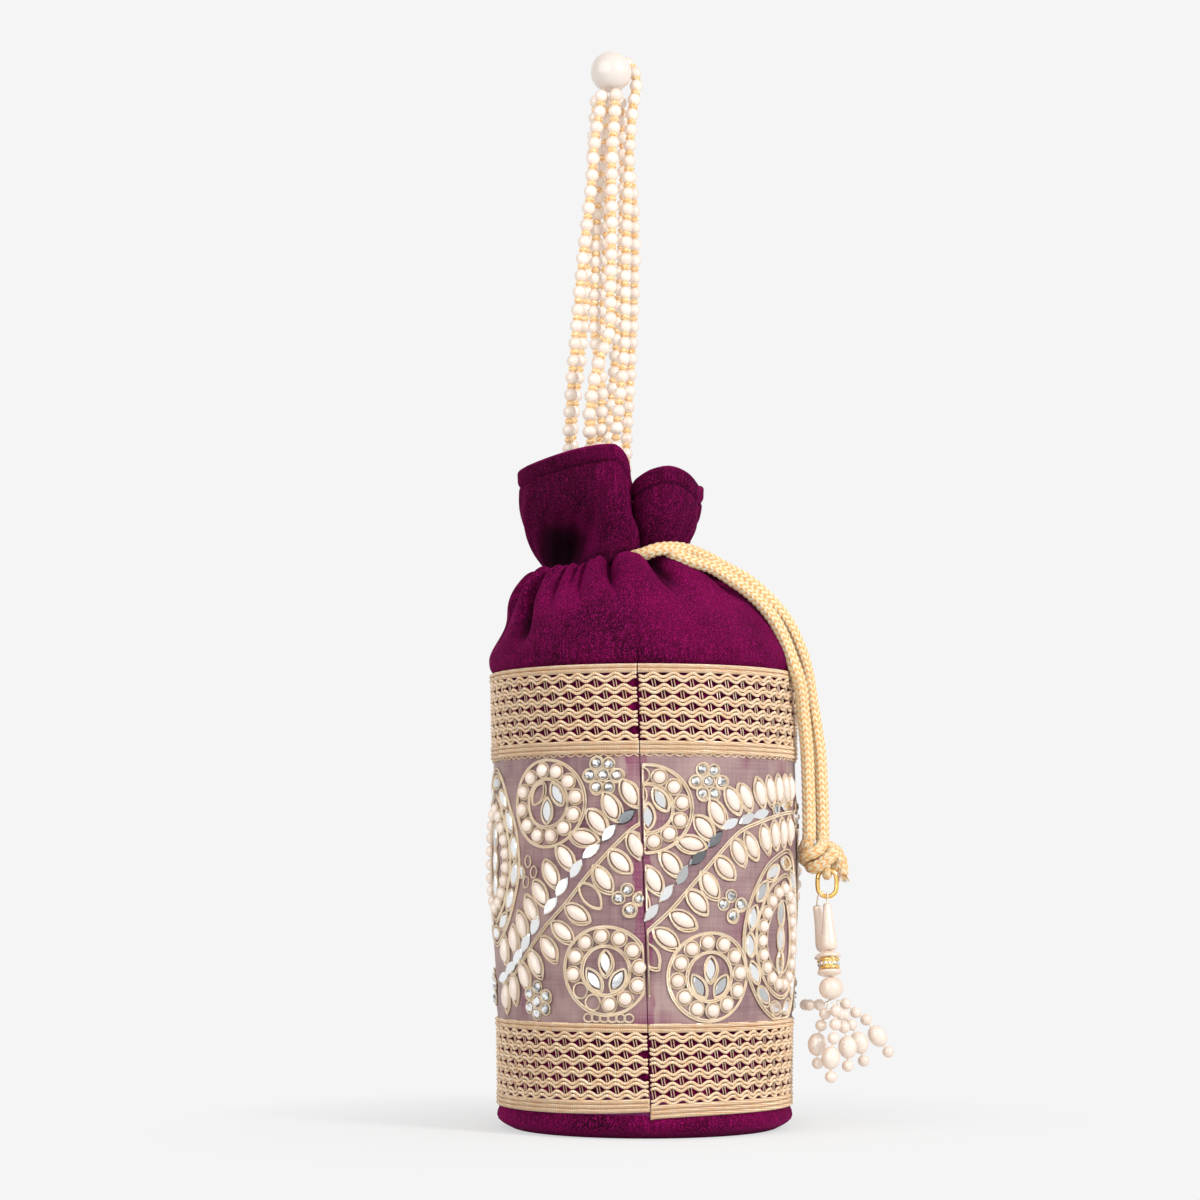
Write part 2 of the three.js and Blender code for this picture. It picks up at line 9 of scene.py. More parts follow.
import bmesh
import bpy
import numpy as np
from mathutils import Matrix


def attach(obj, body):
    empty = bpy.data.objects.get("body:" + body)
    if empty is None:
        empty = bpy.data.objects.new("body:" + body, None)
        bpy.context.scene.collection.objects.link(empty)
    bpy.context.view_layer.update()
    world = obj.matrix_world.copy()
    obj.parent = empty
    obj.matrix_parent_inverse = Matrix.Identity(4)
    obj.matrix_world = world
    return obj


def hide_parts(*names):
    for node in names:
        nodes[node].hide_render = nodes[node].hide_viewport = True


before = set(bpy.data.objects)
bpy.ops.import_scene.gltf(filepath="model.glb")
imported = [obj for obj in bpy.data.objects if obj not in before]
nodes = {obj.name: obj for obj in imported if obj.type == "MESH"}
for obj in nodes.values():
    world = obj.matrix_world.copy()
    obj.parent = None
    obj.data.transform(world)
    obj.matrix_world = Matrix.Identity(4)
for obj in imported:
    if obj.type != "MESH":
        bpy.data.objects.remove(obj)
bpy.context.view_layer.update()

MM = 0.001
TURN = 2 * math.pi
SIDES = ("front", "back")

# Camera and light
CAMERA_DISTANCE = 900
CAMERA_HEIGHT = 80.4
CAMERA_TILT = 5
CAMERA_YAW = 0.94
CAMERA_LENS = 80.7
CAMERA_SHIFT = 0.039
SENSOR_WIDTH = 36
WORLD_LIGHT = 0.6

# Body, as in the part
BASE_RADIUS = 47.3
SHOULDER_RADIUS = 50.3
SHOULDER_HEIGHT = 149.5
SEAM_X_AT_FLOOR = 2
SEAM_LEAN = -5 / 180
ARC_RADIUS = 50
NECK_HEIGHT = 186.5
NECK_SHIFT = -9.5
NECK_TILT = 0.1
LACE_WIDTH = 28.6
BOTTOM_LACE_HEIGHT = 7.5
TOP_LACE_HEIGHT = 120.8
PANEL_LOW = BOTTOM_LACE_HEIGHT + LACE_WIDTH
PANEL_HIGH = TOP_LACE_HEIGHT

# Cord, handle and beads
CORD_RADIUS = 2.2
CHANNEL_RADIUS = 18.4
KNIT_COLUMNS = 6
KNIT_STITCH = 2.1
STITCH_SLANT = 1.3
STITCH_EDGE = 0.4
STRING_PEARL = 2.3
SEED_BEAD = (1.75, 1.75, 1.15)
STRING_PITCH = 5.9
STRING_THREAD = 0.22
STRING_SIDE = (0.3, 1, 0.1)
LEGS_CLOSER = 0.34
BIG_PEARL = 7
BIG_PEARL_BORE = 0.8
BIG_PEARL_PLACE = (-11, 0, 170.1)
BIG_PEARL_SIDES = 48


# Camera, made before the pieces
def make_camera():
    """A long lens on the near side, below the middle of the bag, tilted up and turned a little."""
    data = bpy.data.cameras.new("camera")
    data.lens = CAMERA_LENS
    data.sensor_width = SENSOR_WIDTH
    data.shift_y = CAMERA_SHIFT
    camera = bpy.data.objects.new("camera", data)
    camera.location = (0, -CAMERA_DISTANCE * MM, CAMERA_HEIGHT * MM)
    camera.rotation_euler = (math.radians(90 + CAMERA_TILT), 0, math.radians(CAMERA_YAW))
    bpy.context.scene.collection.objects.link(camera)
    bpy.context.scene.camera = camera


make_camera()


# Arrays and meshes
def unit(vectors):
    """Each vector divided by its own length."""
    length = np.linalg.norm(vectors, axis=-1, keepdims=True)
    return vectors / np.maximum(length, 1e-9)


def smoothstep(low, high, value):
    """0 below low, 1 above high, and 3t^2 - 2t^3 between them."""
    t = np.clip((value - low) / (high - low), 0, 1)
    return t * t * (3 - 2 * t)


def bell(distance, width):
    """exp(-(distance / width)^2): 1 in the middle, near 0 past twice the width."""
    return np.exp(-((distance / width) ** 2))


def steps_round(count):
    """Equal angles once round, from 0."""
    return np.arange(count) / count * TURN


def circle_points(angles):
    """(cos a, sin a) for each angle."""
    return np.stack([np.cos(angles), np.sin(angles)], -1)


def spline(points, at, closed=False):
    """Catmull-Rom curve through the points, which are spaced evenly on 0..1. Each span is the
    cubic through its two ends whose end slopes are half the step between their neighbours."""
    points = np.asarray(points, float)
    count = len(points)
    if closed:
        padded = np.concatenate([points[-1:], points, points[:2]])
        spans = count
    else:
        first = 2 * points[:1] - points[1:2]
        last = 2 * points[-1:] - points[-2:-1]
        padded = np.concatenate([first, points, last])
        spans = count - 1
    x = np.clip(np.asarray(at, float), 0, 1) * spans
    i = np.minimum(x.astype(int), spans - 1)
    t = (x - i).reshape((-1,) + (1,) * (points.ndim - 1))
    a, b, c, d = (padded[i + k] for k in range(4))
    return b + 0.5 * t * (c - a + t * (2 * a - 5 * b + 4 * c - d + t * (3 * (b - c) + d - a)))


def even(points, step, closed=False):
    """The spline through the points, sampled at equal steps of its own length."""
    fine = spline(points, np.linspace(0, 1, 60 * len(points)), closed)
    run = np.concatenate([[0], np.cumsum(np.linalg.norm(np.diff(fine, axis=0), axis=1))])
    count = max(int(round(run[-1] / step)), 2) + 1
    at = np.linspace(0, run[-1], count)
    return np.stack([np.interp(at, run, fine[:, k]) for k in range(fine.shape[1])], axis=1)


def length_of(points):
    """Sum of the straight steps along a line of points."""
    return float(np.linalg.norm(np.diff(points, axis=0), axis=1).sum())


def add_tone(mesh, values):
    """The attribute that materials read as a piece's tone, one number for each vertex."""
    layer = mesh.attributes.new("tone", "FLOAT", "POINT")
    layer.data.foreach_set("value", np.asarray(values, np.float32))


def new_piece(name, vertices, faces, uv=None, tone=None, smooth=True, merge=False):
    """A mesh object from vertices in millimetres. uv has one pair and tone one number for
    each vertex."""
    mesh = bpy.data.meshes.new(name)
    mesh.from_pydata(np.asarray(vertices) * MM, [], np.asarray(faces))
    if uv is not None:
        corner = np.empty(len(mesh.loops), np.int32)
        mesh.loops.foreach_get("vertex_index", corner)
        layer = mesh.uv_layers.new(name="UVMap")
        layer.data.foreach_set("uv", np.asarray(uv, np.float32)[corner].ravel())
    if tone is not None:
        add_tone(mesh, tone)
    mesh.polygons.foreach_set("use_smooth", np.full(len(mesh.polygons), smooth))
    if merge:
        work = bmesh.new()
        work.from_mesh(mesh)
        bmesh.ops.remove_doubles(work, verts=work.verts, dist=1e-6)
        work.to_mesh(mesh)
        work.free()
    piece = bpy.data.objects.new(name, mesh)
    bpy.context.scene.collection.objects.link(piece)
    return piece


def grid_faces(rows, columns, around=False, closed=False):
    """Squares between neighbours of a grid whose vertices are numbered row by row. The last
    column meets the first where it goes around, and the last row the first where it is closed."""
    column = np.arange(columns if around else columns - 1)
    row = np.arange(rows if closed else rows - 1)[:, None]
    low = row * columns
    high = (row + 1) % rows * columns
    beside = (column + 1) % columns
    faces = np.stack([low + column, low + beside, high + beside, high + column], -1)
    return faces.reshape(-1, 4)


def grid_piece(name, points, uv=None, around=False, merge=False, tone=None):
    """A surface from points of shape (rows, columns, 3)."""
    rows, columns = points.shape[:2]
    flat_uv = None if uv is None else uv.reshape(-1, 2)
    faces = grid_faces(rows, columns, around)
    return new_piece(name, points.reshape(-1, 3), faces, flat_uv, tone, merge=merge)


def copies(name, shape, places, frames, sizes, tone, smooth=True):
    """One mesh of many like shapes. Each vertex is place + frame * (size * vertex), where a
    frame's three columns are the directions of the shape's own axes. tone has one number for
    each copy, or one for each vertex of each copy."""
    vertices, faces = shape
    count = len(places)
    scaled = np.asarray(sizes, float).reshape(count, 1, -1) * vertices[None]
    moved = np.einsum("nij,nvj->nvi", frames, scaled) + np.asarray(places)[:, None]
    all_faces = faces[None] + (np.arange(count) * len(vertices))[:, None, None]
    all_faces = all_faces.reshape(-1, faces.shape[1])
    each = np.broadcast_to(np.asarray(tone, float).reshape(count, -1), (count, len(vertices)))
    return new_piece(name, moved.reshape(-1, 3), all_faces, None, each.ravel(), smooth, merge=True)


def merged_pieces(name, pieces):
    """Several meshes joined into one object; each keeps its own material."""
    bpy.ops.object.select_all(action="DESELECT")
    for piece in pieces:
        piece.select_set(True)
    bpy.context.view_layer.objects.active = pieces[0]
    bpy.ops.object.join()
    pieces[0].name = name
    return pieces[0]


def ball_shape(around, high):
    """Unit sphere: (sin b cos a, sin b sin a, cos b). Each pole is one ring of equal points,
    which copies() merges."""
    a = steps_round(around)
    b = np.linspace(0, math.pi, high + 1)[:, None]
    x = np.sin(b) * np.cos(a)
    y = np.sin(b) * np.sin(a)
    z = np.cos(b) + 0 * a
    vertices = np.stack([x, y, z], -1)[::-1].reshape(-1, 3)
    return vertices, grid_faces(high + 1, around, around=True)


def frames_along(lines, reference, closed):
    """Side and outward directions on lines of points (lines, n, 3). The outward one is the
    reference with its share along the tangent taken away."""
    if closed:
        tangent = unit(np.roll(lines, -1, 1) - np.roll(lines, 1, 1))
    else:
        tangent = unit(np.gradient(lines, axis=1))
    reference = np.broadcast_to(reference, lines.shape)
    outward = unit(reference - (reference * tangent).sum(-1, keepdims=True) * tangent)
    return np.cross(tangent, outward), outward


def tubes(name, lines, radius, sides, reference, closed=False):
    """Round cords along lines of points (lines, n, 3). A ring's point is
    line + radius * (cos a * outward - sin a * side), and open ends close to a point. U is the
    share of the way round and V the distance along in millimetres."""
    lines = np.asarray(lines, float)
    if lines.ndim == 2:
        lines = lines[None]
    count, length = lines.shape[:2]
    side, outward = frames_along(lines, reference, closed)
    a = steps_round(sides)
    size = np.broadcast_to(radius, (count, length, sides)).astype(float).copy()
    if not closed:
        size[:, [0, -1]] = 0
    ring = np.cos(a)[:, None] * outward[:, :, None] - np.sin(a)[:, None] * side[:, :, None]
    points = lines[:, :, None] + size[..., None] * ring
    run = np.cumsum(np.linalg.norm(np.diff(lines, axis=1, prepend=lines[:, :1]), axis=-1), axis=1)
    uv = np.stack(np.broadcast_arrays(a / TURN, run[:, :, None]), -1).reshape(-1, 2)
    one = grid_faces(length, sides, around=True, closed=closed)
    faces = one[None] + (np.arange(count) * length * sides)[:, None, None]
    return new_piece(name, points.reshape(-1, 3), faces.reshape(-1, 4), uv, merge=not closed)


def square_to(axis, beside=(0, 1, 0.2)):
    """Two unit directions square to an axis and to each other."""
    side = unit(np.cross(axis, beside))
    return side, np.cross(axis, side)


def spokes(axis, count):
    """Equal steps round an axis: cos a * side + sin a * third, both square to it."""
    side, third = square_to(axis)
    a = steps_round(count)[:, None]
    return np.cos(a) * side + np.sin(a) * third


def turned(name, profile, top, axis, around):
    """A profile of (radius, distance) pairs turned about an axis that starts at top."""
    profile = np.asarray(profile, float)
    down = unit(np.asarray(axis, float))
    points = np.asarray(top) + profile[:, None, 1:] * down + profile[:, None, :1] * spokes(down, around)
    return grid_piece(name, points, around=True, merge=True)


def coated(piece, material):
    """A piece or a CAD node's object with one material in place of what it had."""
    piece.data.materials.clear()
    piece.data.materials.append(material)
    return piece


def settle(piece, body, slot, *replaced):
    """Gives a piece its body and hides the CAD nodes that it stands for. slot is not used."""
    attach(piece, body)
    if replaced:
        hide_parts(*replaced)


def place(piece, body, slot, material, *replaced):
    """Gives a piece its only material and settles it."""
    settle(coated(piece, material), body, slot, *replaced)


# Shader node groups and materials
def colour(red, green, blue):
    """Linear colour of an sRGB one given in 0..255."""
    values = np.array([red, green, blue]) / 255
    linear = np.where(values <= 0.04045, values / 12.92, ((values + 0.055) / 1.055) ** 2.4)
    return (*linear.tolist(), 1)


class Nodes:
    """Short calls for adding and joining the nodes of one tree."""

    def __init__(self, tree):
        self.tree = tree

    def add(self, kind, **settings):
        """A new node. inputs holds its sockets' values or the sockets that feed them."""
        node = self.tree.nodes.new(kind)
        inputs = settings.pop("inputs", {})
        for key, value in settings.items():
            setattr(node, key, value)
        for key, value in inputs.items():
            self.feed(node.inputs[key], value)
        return node

    def feed(self, socket, value):
        """Links a socket to another one, or sets its plain value."""
        if isinstance(value, bpy.types.NodeSocket):
            self.tree.links.new(value, socket)
        else:
            socket.default_value = value

    def maths(self, operation, a, b=0.0, c=0.0):
        node = self.add("ShaderNodeMath", operation=operation)
        for socket, value in zip(node.inputs, (a, b, c)):
            self.feed(socket, value)
        return node.outputs[0]

    def noise(self, vector, scale, detail, rough):
        inputs = {"Vector": vector, "Scale": scale, "Detail": detail, "Roughness": rough}
        return self.add("ShaderNodeTexNoise", inputs=inputs).outputs["Fac"]

    def between(self, value, low, high, to_low=0.0, to_high=1.0):
        """The value moved from low..high to to_low..to_high, held at its ends."""
        inputs = {"Value": value, "From Min": low, "From Max": high, "To Min": to_low, "To Max": to_high}
        return self.add("ShaderNodeMapRange", inputs=inputs).outputs["Result"]

    def mix(self, factor, a, b):
        node = self.add("ShaderNodeMix", data_type="RGBA")
        for key, value in ((0, factor), (6, a), (7, b)):
            self.feed(node.inputs[key], value)
        return node.outputs[2]

    def stretched(self, vector, scale):
        return self.add("ShaderNodeMapping", inputs={"Vector": vector, "Scale": scale}).outputs[0]

    def bump(self, height, distance, strength):
        inputs = {"Height": height, "Distance": distance, "Strength": strength}
        return self.add("ShaderNodeBump", inputs=inputs).outputs["Normal"]

    def tone(self):
        """The tone attribute, or 0 where it has none: painted shade on velvet, painted reflection on
        foil.
        """
        return self.add("ShaderNodeAttribute", attribute_name="tone").outputs["Fac"]

    def use(self, group, **inputs):
        """A node group placed in this tree with its own values."""
        return self.add("ShaderNodeGroup", node_tree=group, inputs=inputs).outputs

    def sees_background(self):
        """1 for camera, glossy and transmission rays, which all show the pale background."""
        rays = self.add("ShaderNodeLightPath").outputs
        clear = self.maths("MAXIMUM", rays["Is Glossy Ray"], rays["Is Transmission Ray"])
        return self.maths("MAXIMUM", rays["Is Camera Ray"], clear)


def new_group(name, inputs, outputs):
    """A shader node group with named float, colour or vector inputs and outputs."""
    kinds = {"f": "NodeSocketFloat", "c": "NodeSocketColor", "v": "NodeSocketVector"}
    tree = bpy.data.node_groups.new(name, "ShaderNodeTree")
    for way, sockets in (("INPUT", inputs), ("OUTPUT", outputs)):
        for key, kind in sockets.items():
            tree.interface.new_socket(key, in_out=way, socket_type=kinds[kind])
    n = Nodes(tree)
    return n, n.add("NodeGroupInput").outputs, n.add("NodeGroupOutput").inputs


def pile_group():
    """Velvet: patches of leaning pile, flecks of single tufts and the faint upright lines of
    the ground weave."""
    n, given, out = new_group(
        "velvet_pile",
        {"Position": "v", "Deep": "c", "Body": "c", "Fleck": "c", "Grain": "f"},
        {"Color": "c", "Height": "f"},
    )
    position = given["Position"]
    patches = n.noise(position, 42, 4, 0.65)
    tufts = n.noise(position, given["Grain"], 3, 0.7)
    lines = n.noise(n.stretched(position, (1900, 1900, 60)), 1, 2, 0.6)
    leaning = n.between(patches, 0.35, 0.65)
    base = n.mix(leaning, given["Deep"], given["Body"])
    speck = n.between(n.maths("ADD", tufts, n.maths("MULTIPLY", lines, 0.35)), 0.66, 0.92)
    n.feed(out["Color"], n.mix(speck, base, given["Fleck"]))
    n.feed(out["Height"], n.maths("ADD", tufts, n.maths("MULTIPLY", lines, 0.6)))
    return n.tree


def weave_group():
    """Plain weave: two sets of ribs from sine waves along U and V in metres, with slubs."""
    n, given, out = new_group(
        "plain_weave", {"UV": "v", "Threads": "f"}, {"Height": "f", "Slub": "f"}
    )
    split = n.add("ShaderNodeSeparateXYZ", inputs={"Vector": given["UV"]}).outputs
    turns = n.maths("MULTIPLY", given["Threads"], TURN)
    across = n.maths("SINE", n.maths("MULTIPLY", split["X"], turns))
    along = n.maths("SINE", n.maths("MULTIPLY", split["Y"], turns))
    n.feed(out["Height"], n.maths("MULTIPLY", across, along))
    warp = n.noise(n.stretched(given["UV"], (1400, 30, 1)), 1, 2, 0.6)
    weft = n.noise(n.stretched(given["UV"], (40, 1300, 1)), 1, 2, 0.6)
    n.feed(out["Slub"], n.maths("MULTIPLY", n.maths("ADD", warp, weft), 0.5))
    return n.tree


def twist_group():
    """Twisted yarn: slanting stripes round a cord from its UV, U once round and V along it."""
    n, given, out = new_group(
        "yarn_twist", {"UV": "v", "Pitch": "f", "Strands": "f"}, {"Height": "f"}
    )
    split = n.add("ShaderNodeSeparateXYZ", inputs={"Vector": given["UV"]}).outputs
    along = n.maths("DIVIDE", split["Y"], given["Pitch"])
    phase = n.maths("MULTIPLY", n.maths("ADD", split["X"], along), given["Strands"])
    wave = n.maths("SINE", n.maths("MULTIPLY", phase, TURN))
    n.feed(out["Height"], n.maths("MULTIPLY_ADD", wave, 0.5, 0.5))
    return n.tree


def knit_group():
    """Knitted cord: columns of stitches round the cord, each stitch a pair of slanting loops
    that meet in the middle of its column. V is bent by the distance from that middle."""
    n, given, out = new_group(
        "knit_stitch",
        {"UV": "v", "Columns": "f", "Stitch": "f"},
        {"Height": "f", "Groove": "f", "Yarn": "f"},
    )
    split = n.add("ShaderNodeSeparateXYZ", inputs={"Vector": given["UV"]}).outputs
    column = n.maths("FRACT", n.maths("MULTIPLY", split["X"], given["Columns"]))
    middle = n.maths("ABSOLUTE", n.maths("SUBTRACT", column, 0.5))
    along = n.maths("DIVIDE", split["Y"], given["Stitch"])
    bent = n.maths("FRACT", n.maths("MULTIPLY_ADD", middle, STITCH_SLANT, along))
    loop = n.maths("SINE", n.maths("MULTIPLY", bent, math.pi))
    edge = n.maths("SINE", n.maths("MULTIPLY", n.maths("MULTIPLY", middle, 2), math.pi))
    rounded = n.maths("POWER", n.maths("MULTIPLY", loop, n.maths("POWER", edge, STITCH_EDGE)), 0.7)
    n.feed(out["Height"], rounded)
    # Groove masks the painted shade between the stitches.
    n.feed(out["Groove"], n.between(rounded, 0.35, 0.8))
    threads = n.maths("SINE", n.maths("MULTIPLY", n.maths("MULTIPLY_ADD", middle, 9, along), 3 * TURN))
    n.feed(out["Yarn"], n.maths("MULTIPLY_ADD", threads, 0.5, 0.5))
    return n.tree


PILE = pile_group()
WEAVE = weave_group()
TWIST = twist_group()
STITCHES = knit_group()


def new_material(name, **constants):
    """A material with a Principled shader whose plain values are set on its own sockets."""
    material = bpy.data.materials.new(name)
    material.use_nodes = True
    n = Nodes(material.node_tree)
    shader = material.node_tree.nodes["Principled BSDF"].inputs
    for key, value in constants.items():
        shader[key].default_value = value
    return material, n, shader, n.add("ShaderNodeTexCoord").outputs


def velvet_material():
    """The pile group's colour, mixed towards near black by the tone as painted shade in the pits
    of the cloth, under the foot and on the ruffle, under a pink sheen."""
    material, n, shader, coords = new_material(
        "purple_velvet",
        **{"Roughness": 0.9, "Sheen Weight": 0.42, "Sheen Roughness": 0.3,
           "Sheen Tint": colour(214, 24, 140), "Specular IOR Level": 0.06},
    )
    pile = n.use(
        PILE, Position=coords["Object"], Deep=colour(34, 0, 18), Body=colour(88, 2, 50),
        Fleck=colour(168, 20, 108), Grain=2300,
    )
    # Painted shade: colour(9, 1, 6) where the tone is low.
    n.feed(shader["Base Color"], n.mix(n.tone(), colour(9, 1, 6), pile["Color"]))
    n.feed(shader["Normal"], n.bump(pile["Height"], 0.0006, 0.7))
    return material


def tissue_material():
    """Woven mauve ground in two clouded colours, stained by patches of pink that shines
    through, with a ragged deep pink band where the tone rises to the near seam."""
    material, n, shader, coords = new_material(
        "mauve_tissue",
        **{"Roughness": 0.55, "Sheen Weight": 0.25, "Sheen Roughness": 0.4,
           "Sheen Tint": colour(255, 235, 225), "Specular IOR Level": 0.4},
    )
    weave = n.use(WEAVE, UV=coords["UV"], Threads=2200)
    cloudy = n.between(n.noise(coords["Object"], 38, 3, 0.6), 0.38, 0.62)
    ground = n.mix(cloudy, colour(122, 90, 96), colour(158, 130, 126))
    shown = n.between(n.noise(n.stretched(coords["Object"], (1, 1, 0.45)), 75, 2, 0.5), 0.56, 0.7)
    stained = n.mix(n.maths("MULTIPLY", shown, 0.65), ground, colour(108, 36, 74))
    ragged = n.maths("MULTIPLY_ADD", n.noise(coords["Object"], 160, 2, 0.5), 0.6, n.tone())
    patchy = n.between(n.noise(coords["Object"], 48, 2, 0.5), 0.38, 0.56, 0.25, 1.0)
    pink = n.maths("MULTIPLY", n.between(ragged, 0.74, 0.9), patchy)
    banded = n.mix(pink, stained, colour(118, 44, 82))
    light = n.between(weave["Slub"], 0.42, 0.6)
    n.feed(shader["Base Color"], n.mix(n.maths("MULTIPLY", light, 0.22), banded, colour(178, 158, 152)))
    height = n.maths("MULTIPLY_ADD", weave["Slub"], 2.0, n.maths("MULTIPLY", weave["Height"], 0.25))
    n.feed(shader["Normal"], n.bump(height, 0.0002, 0.6))
    return material


def thread_material(name, light, shade, pitch):
    """Gold thread: twisted strands with painted shade in the hollow between them, darker patches
    and painted pale glints. The pitch of the twist is in millimetres."""
    material, n, shader, coords = new_material(
        name, **{"Roughness": 0.25, "Metallic": 0.1, "Specular IOR Level": 0.6}
    )
    twist = n.use(TWIST, UV=coords["UV"], Pitch=pitch, Strands=2)
    darker_patches = n.between(n.noise(coords["Object"], 420, 2, 0.6), 0.35, 0.7)
    lit = n.mix(n.maths("MULTIPLY", darker_patches, 0.5), light, shade)
    # Painted shade in the hollows of the twist, and painted glints on the strands.
    hollow = n.between(twist["Height"], 0.05, 0.7)
    painted_sparkle = n.between(n.noise(coords["Object"], 2400, 2, 0.6), 0.58, 0.68)
    strand = n.mix(hollow, shade, lit)
    n.feed(shader["Base Color"], n.mix(n.maths("MULTIPLY", painted_sparkle, hollow), strand, colour(255, 252, 244)))
    n.feed(shader["Normal"], n.bump(twist["Height"], 0.0003, 0.8))
    return material


def knit_material():
    """The stitches of the knit group in pale gold yarn, with painted warm shade in the grooves
    and painted pale glints.
    """
    material, n, shader, coords = new_material(
        "knitted_gold_cord",
        **{"Roughness": 0.5, "Sheen Weight": 0.3, "Sheen Roughness": 0.4,
           "Sheen Tint": colour(255, 225, 170), "Specular IOR Level": 0.5},
    )
    knit = n.use(STITCHES, UV=coords["UV"], Columns=KNIT_COLUMNS, Stitch=KNIT_STITCH)
    # Painted pale glints on the yarn.
    glint = n.between(n.noise(coords["Object"], 900, 2, 0.7), 0.5, 0.72)
    yarn = n.mix(n.maths("MULTIPLY", knit["Yarn"], 0.45), colour(255, 238, 192), colour(255, 250, 228))
    lit = n.mix(n.maths("MULTIPLY", glint, 0.6), yarn, colour(255, 250, 236))
    # Painted shade: warm orange in the grooves.
    n.feed(shader["Base Color"], n.mix(knit["Groove"], colour(255, 186, 104), lit))
    height = n.maths("MULTIPLY_ADD", knit["Yarn"], 0.3, knit["Height"])
    n.feed(shader["Normal"], n.bump(height, 0.0003, 0.7))
    return material


def pearl_material(name, dark, light, edge, glow):
    """Pearl lacquer from dark to light by the bead's tone and a cloud of noise, with painted shade
    towards the edge, under a clear coat, with a little subsurface and a faint painted glow."""
    # The emission is a painted glow that lifts the shade.
    material, n, shader, coords = new_material(
        name,
        **{"Roughness": 0.22, "Coat Weight": 1.0, "Coat Roughness": 0.2, "Specular IOR Level": 0.7,
           "Subsurface Weight": 0.08, "Subsurface Scale": 0.002, "Emission Strength": glow,
           "Emission Color": colour(255, 236, 218)},
    )
    cloud = n.noise(coords["Object"], 260, 2, 0.6)
    blend = n.maths("ADD", n.maths("MULTIPLY", n.tone(), 0.7), n.maths("MULTIPLY", cloud, 0.3))
    # Painted shade: the edge colour towards the rim, by the facing.
    facing = n.add("ShaderNodeLayerWeight", inputs={"Blend": 0.3}).outputs["Facing"]
    body = n.mix(blend, dark, light)
    n.feed(shader["Base Color"], n.mix(n.between(facing, 0.1, 0.9), body, edge))
    n.feed(shader["Roughness"], n.between(cloud, 0.3, 0.7, 0.2, 0.3))
    return material


def mirror_material():
    """Foil from grey to silver by the stone's tone, a painted reflection, with fine scratches in its
    gloss.
    """
    material, n, shader, coords = new_material("foil_mirror", Metallic=1.0, Roughness=0.12)
    scratch = n.noise(n.stretched(coords["Object"], (1, 1, 3)), 700, 2, 0.6)
    # Painted reflection: the tone sets how bright the foil is.
    n.feed(shader["Base Color"], n.mix(n.tone(), colour(92, 96, 100), colour(246, 247, 248)))
    n.feed(shader["Roughness"], n.between(scratch, 0.3, 0.7, 0.06, 0.22))
    return material


def satin_material():
    """Fine weave with slubs in two clouded purples, the clouds painted light and shade of folds."""
    material, n, shader, coords = new_material(
        "purple_satin",
        **{"Roughness": 0.38, "Sheen Weight": 0.2, "Sheen Tint": colour(220, 120, 190)},
    )
    weave = n.use(WEAVE, UV=coords["UV"], Threads=3200)
    # Painted light and shade of folds.
    painted_fold_shade = n.between(n.noise(coords["Object"], 60, 3, 0.6), 0.35, 0.65)
    n.feed(shader["Base Color"], n.mix(painted_fold_shade, colour(84, 14, 62), colour(122, 34, 92)))
    n.feed(shader["Normal"], n.bump(weave["Slub"], 0.0001, 0.5))
    return material


def plain_material(name, dark, light, scale, **constants):
    """A finish with soft variation between two colours and a fine grain."""
    material, n, shader, coords = new_material(name, **constants)
    cloud = n.noise(coords["Object"], scale, 4, 0.6)
    n.feed(shader["Base Color"], n.mix(n.between(cloud, 0.3, 0.7), dark, light))
    n.feed(shader["Normal"], n.bump(n.noise(coords["Object"], scale * 6, 3, 0.7), 0.0001, 0.5))
    return material


VELVET = velvet_material()
TISSUE = tissue_material()
# The second colour of each thread is painted shade in its hollows, and the colour of its darker patches.
LACE = thread_material("gold_lace_thread", colour(255, 246, 220), colour(244, 184, 126), 1.3)
ZARI = thread_material("gold_embroidery_thread", colour(255, 250, 234), colour(252, 210, 156), 1.1)
KNIT = knit_material()
# The third colour of each pearl is painted shade at the rim, and the last number a painted glow.
PEARL = pearl_material(
    "ivory_pearl", colour(198, 182, 168), colour(216, 204, 194), colour(188, 148, 120), 0.2
)
LARGE_PEARL = pearl_material(
    "large_pearl", colour(200, 190, 182), colour(216, 208, 202), colour(208, 188, 174), 0.08
)
MIRROR = mirror_material()
SATIN = satin_material()
BOARD = plain_material("grey_board", colour(160, 142, 116), colour(196, 178, 150), 120, Roughness=0.9)
BUCKRAM = plain_material(
    "stiff_interlining", colour(214, 206, 190), colour(240, 234, 222), 200, Roughness=0.9
)
GILT = plain_material(
    "bright_gilt", colour(244, 192, 104), colour(255, 222, 150), 300, Roughness=0.16, Metallic=1.0
)
NYLON = plain_material("nylon_thread", colour(222, 206, 184), colour(240, 230, 214), 400, Roughness=0.4)
# Seed beads: deep gold with pale patches, and the pale patches are painted glints.
SEED = plain_material(
    "gold_seed_bead", colour(232, 156, 50), colour(255, 242, 204), 1500, Roughness=0.14, Metallic=0.4
)
# Clear stones: grey to white by a fine noise, as painted reflections.
CRYSTAL = plain_material(
    "clear_rhinestone", colour(196, 202, 210), colour(252, 252, 252), 1600, Roughness=0.05, Metallic=0.85
)


# Places on the body
def wall_radius(height):
    """The wall is a cone that widens from the base to the shoulder."""
    return BASE_RADIUS + (SHOULDER_RADIUS - BASE_RADIUS) * height / SHOULDER_HEIGHT


def on_wall(places):
    """Points from (along, height, lift): along is the arc from the near side, positive towards
    the front panel, and lift the distance outside the velvet."""
    along, height, lift = np.moveaxis(np.asarray(places, float), -1, 0)
    angle = along / ARC_RADIUS - math.pi / 2
    radius = wall_radius(height) + lift
    return np.stack([radius * np.cos(angle), radius * np.sin(angle), height], -1)


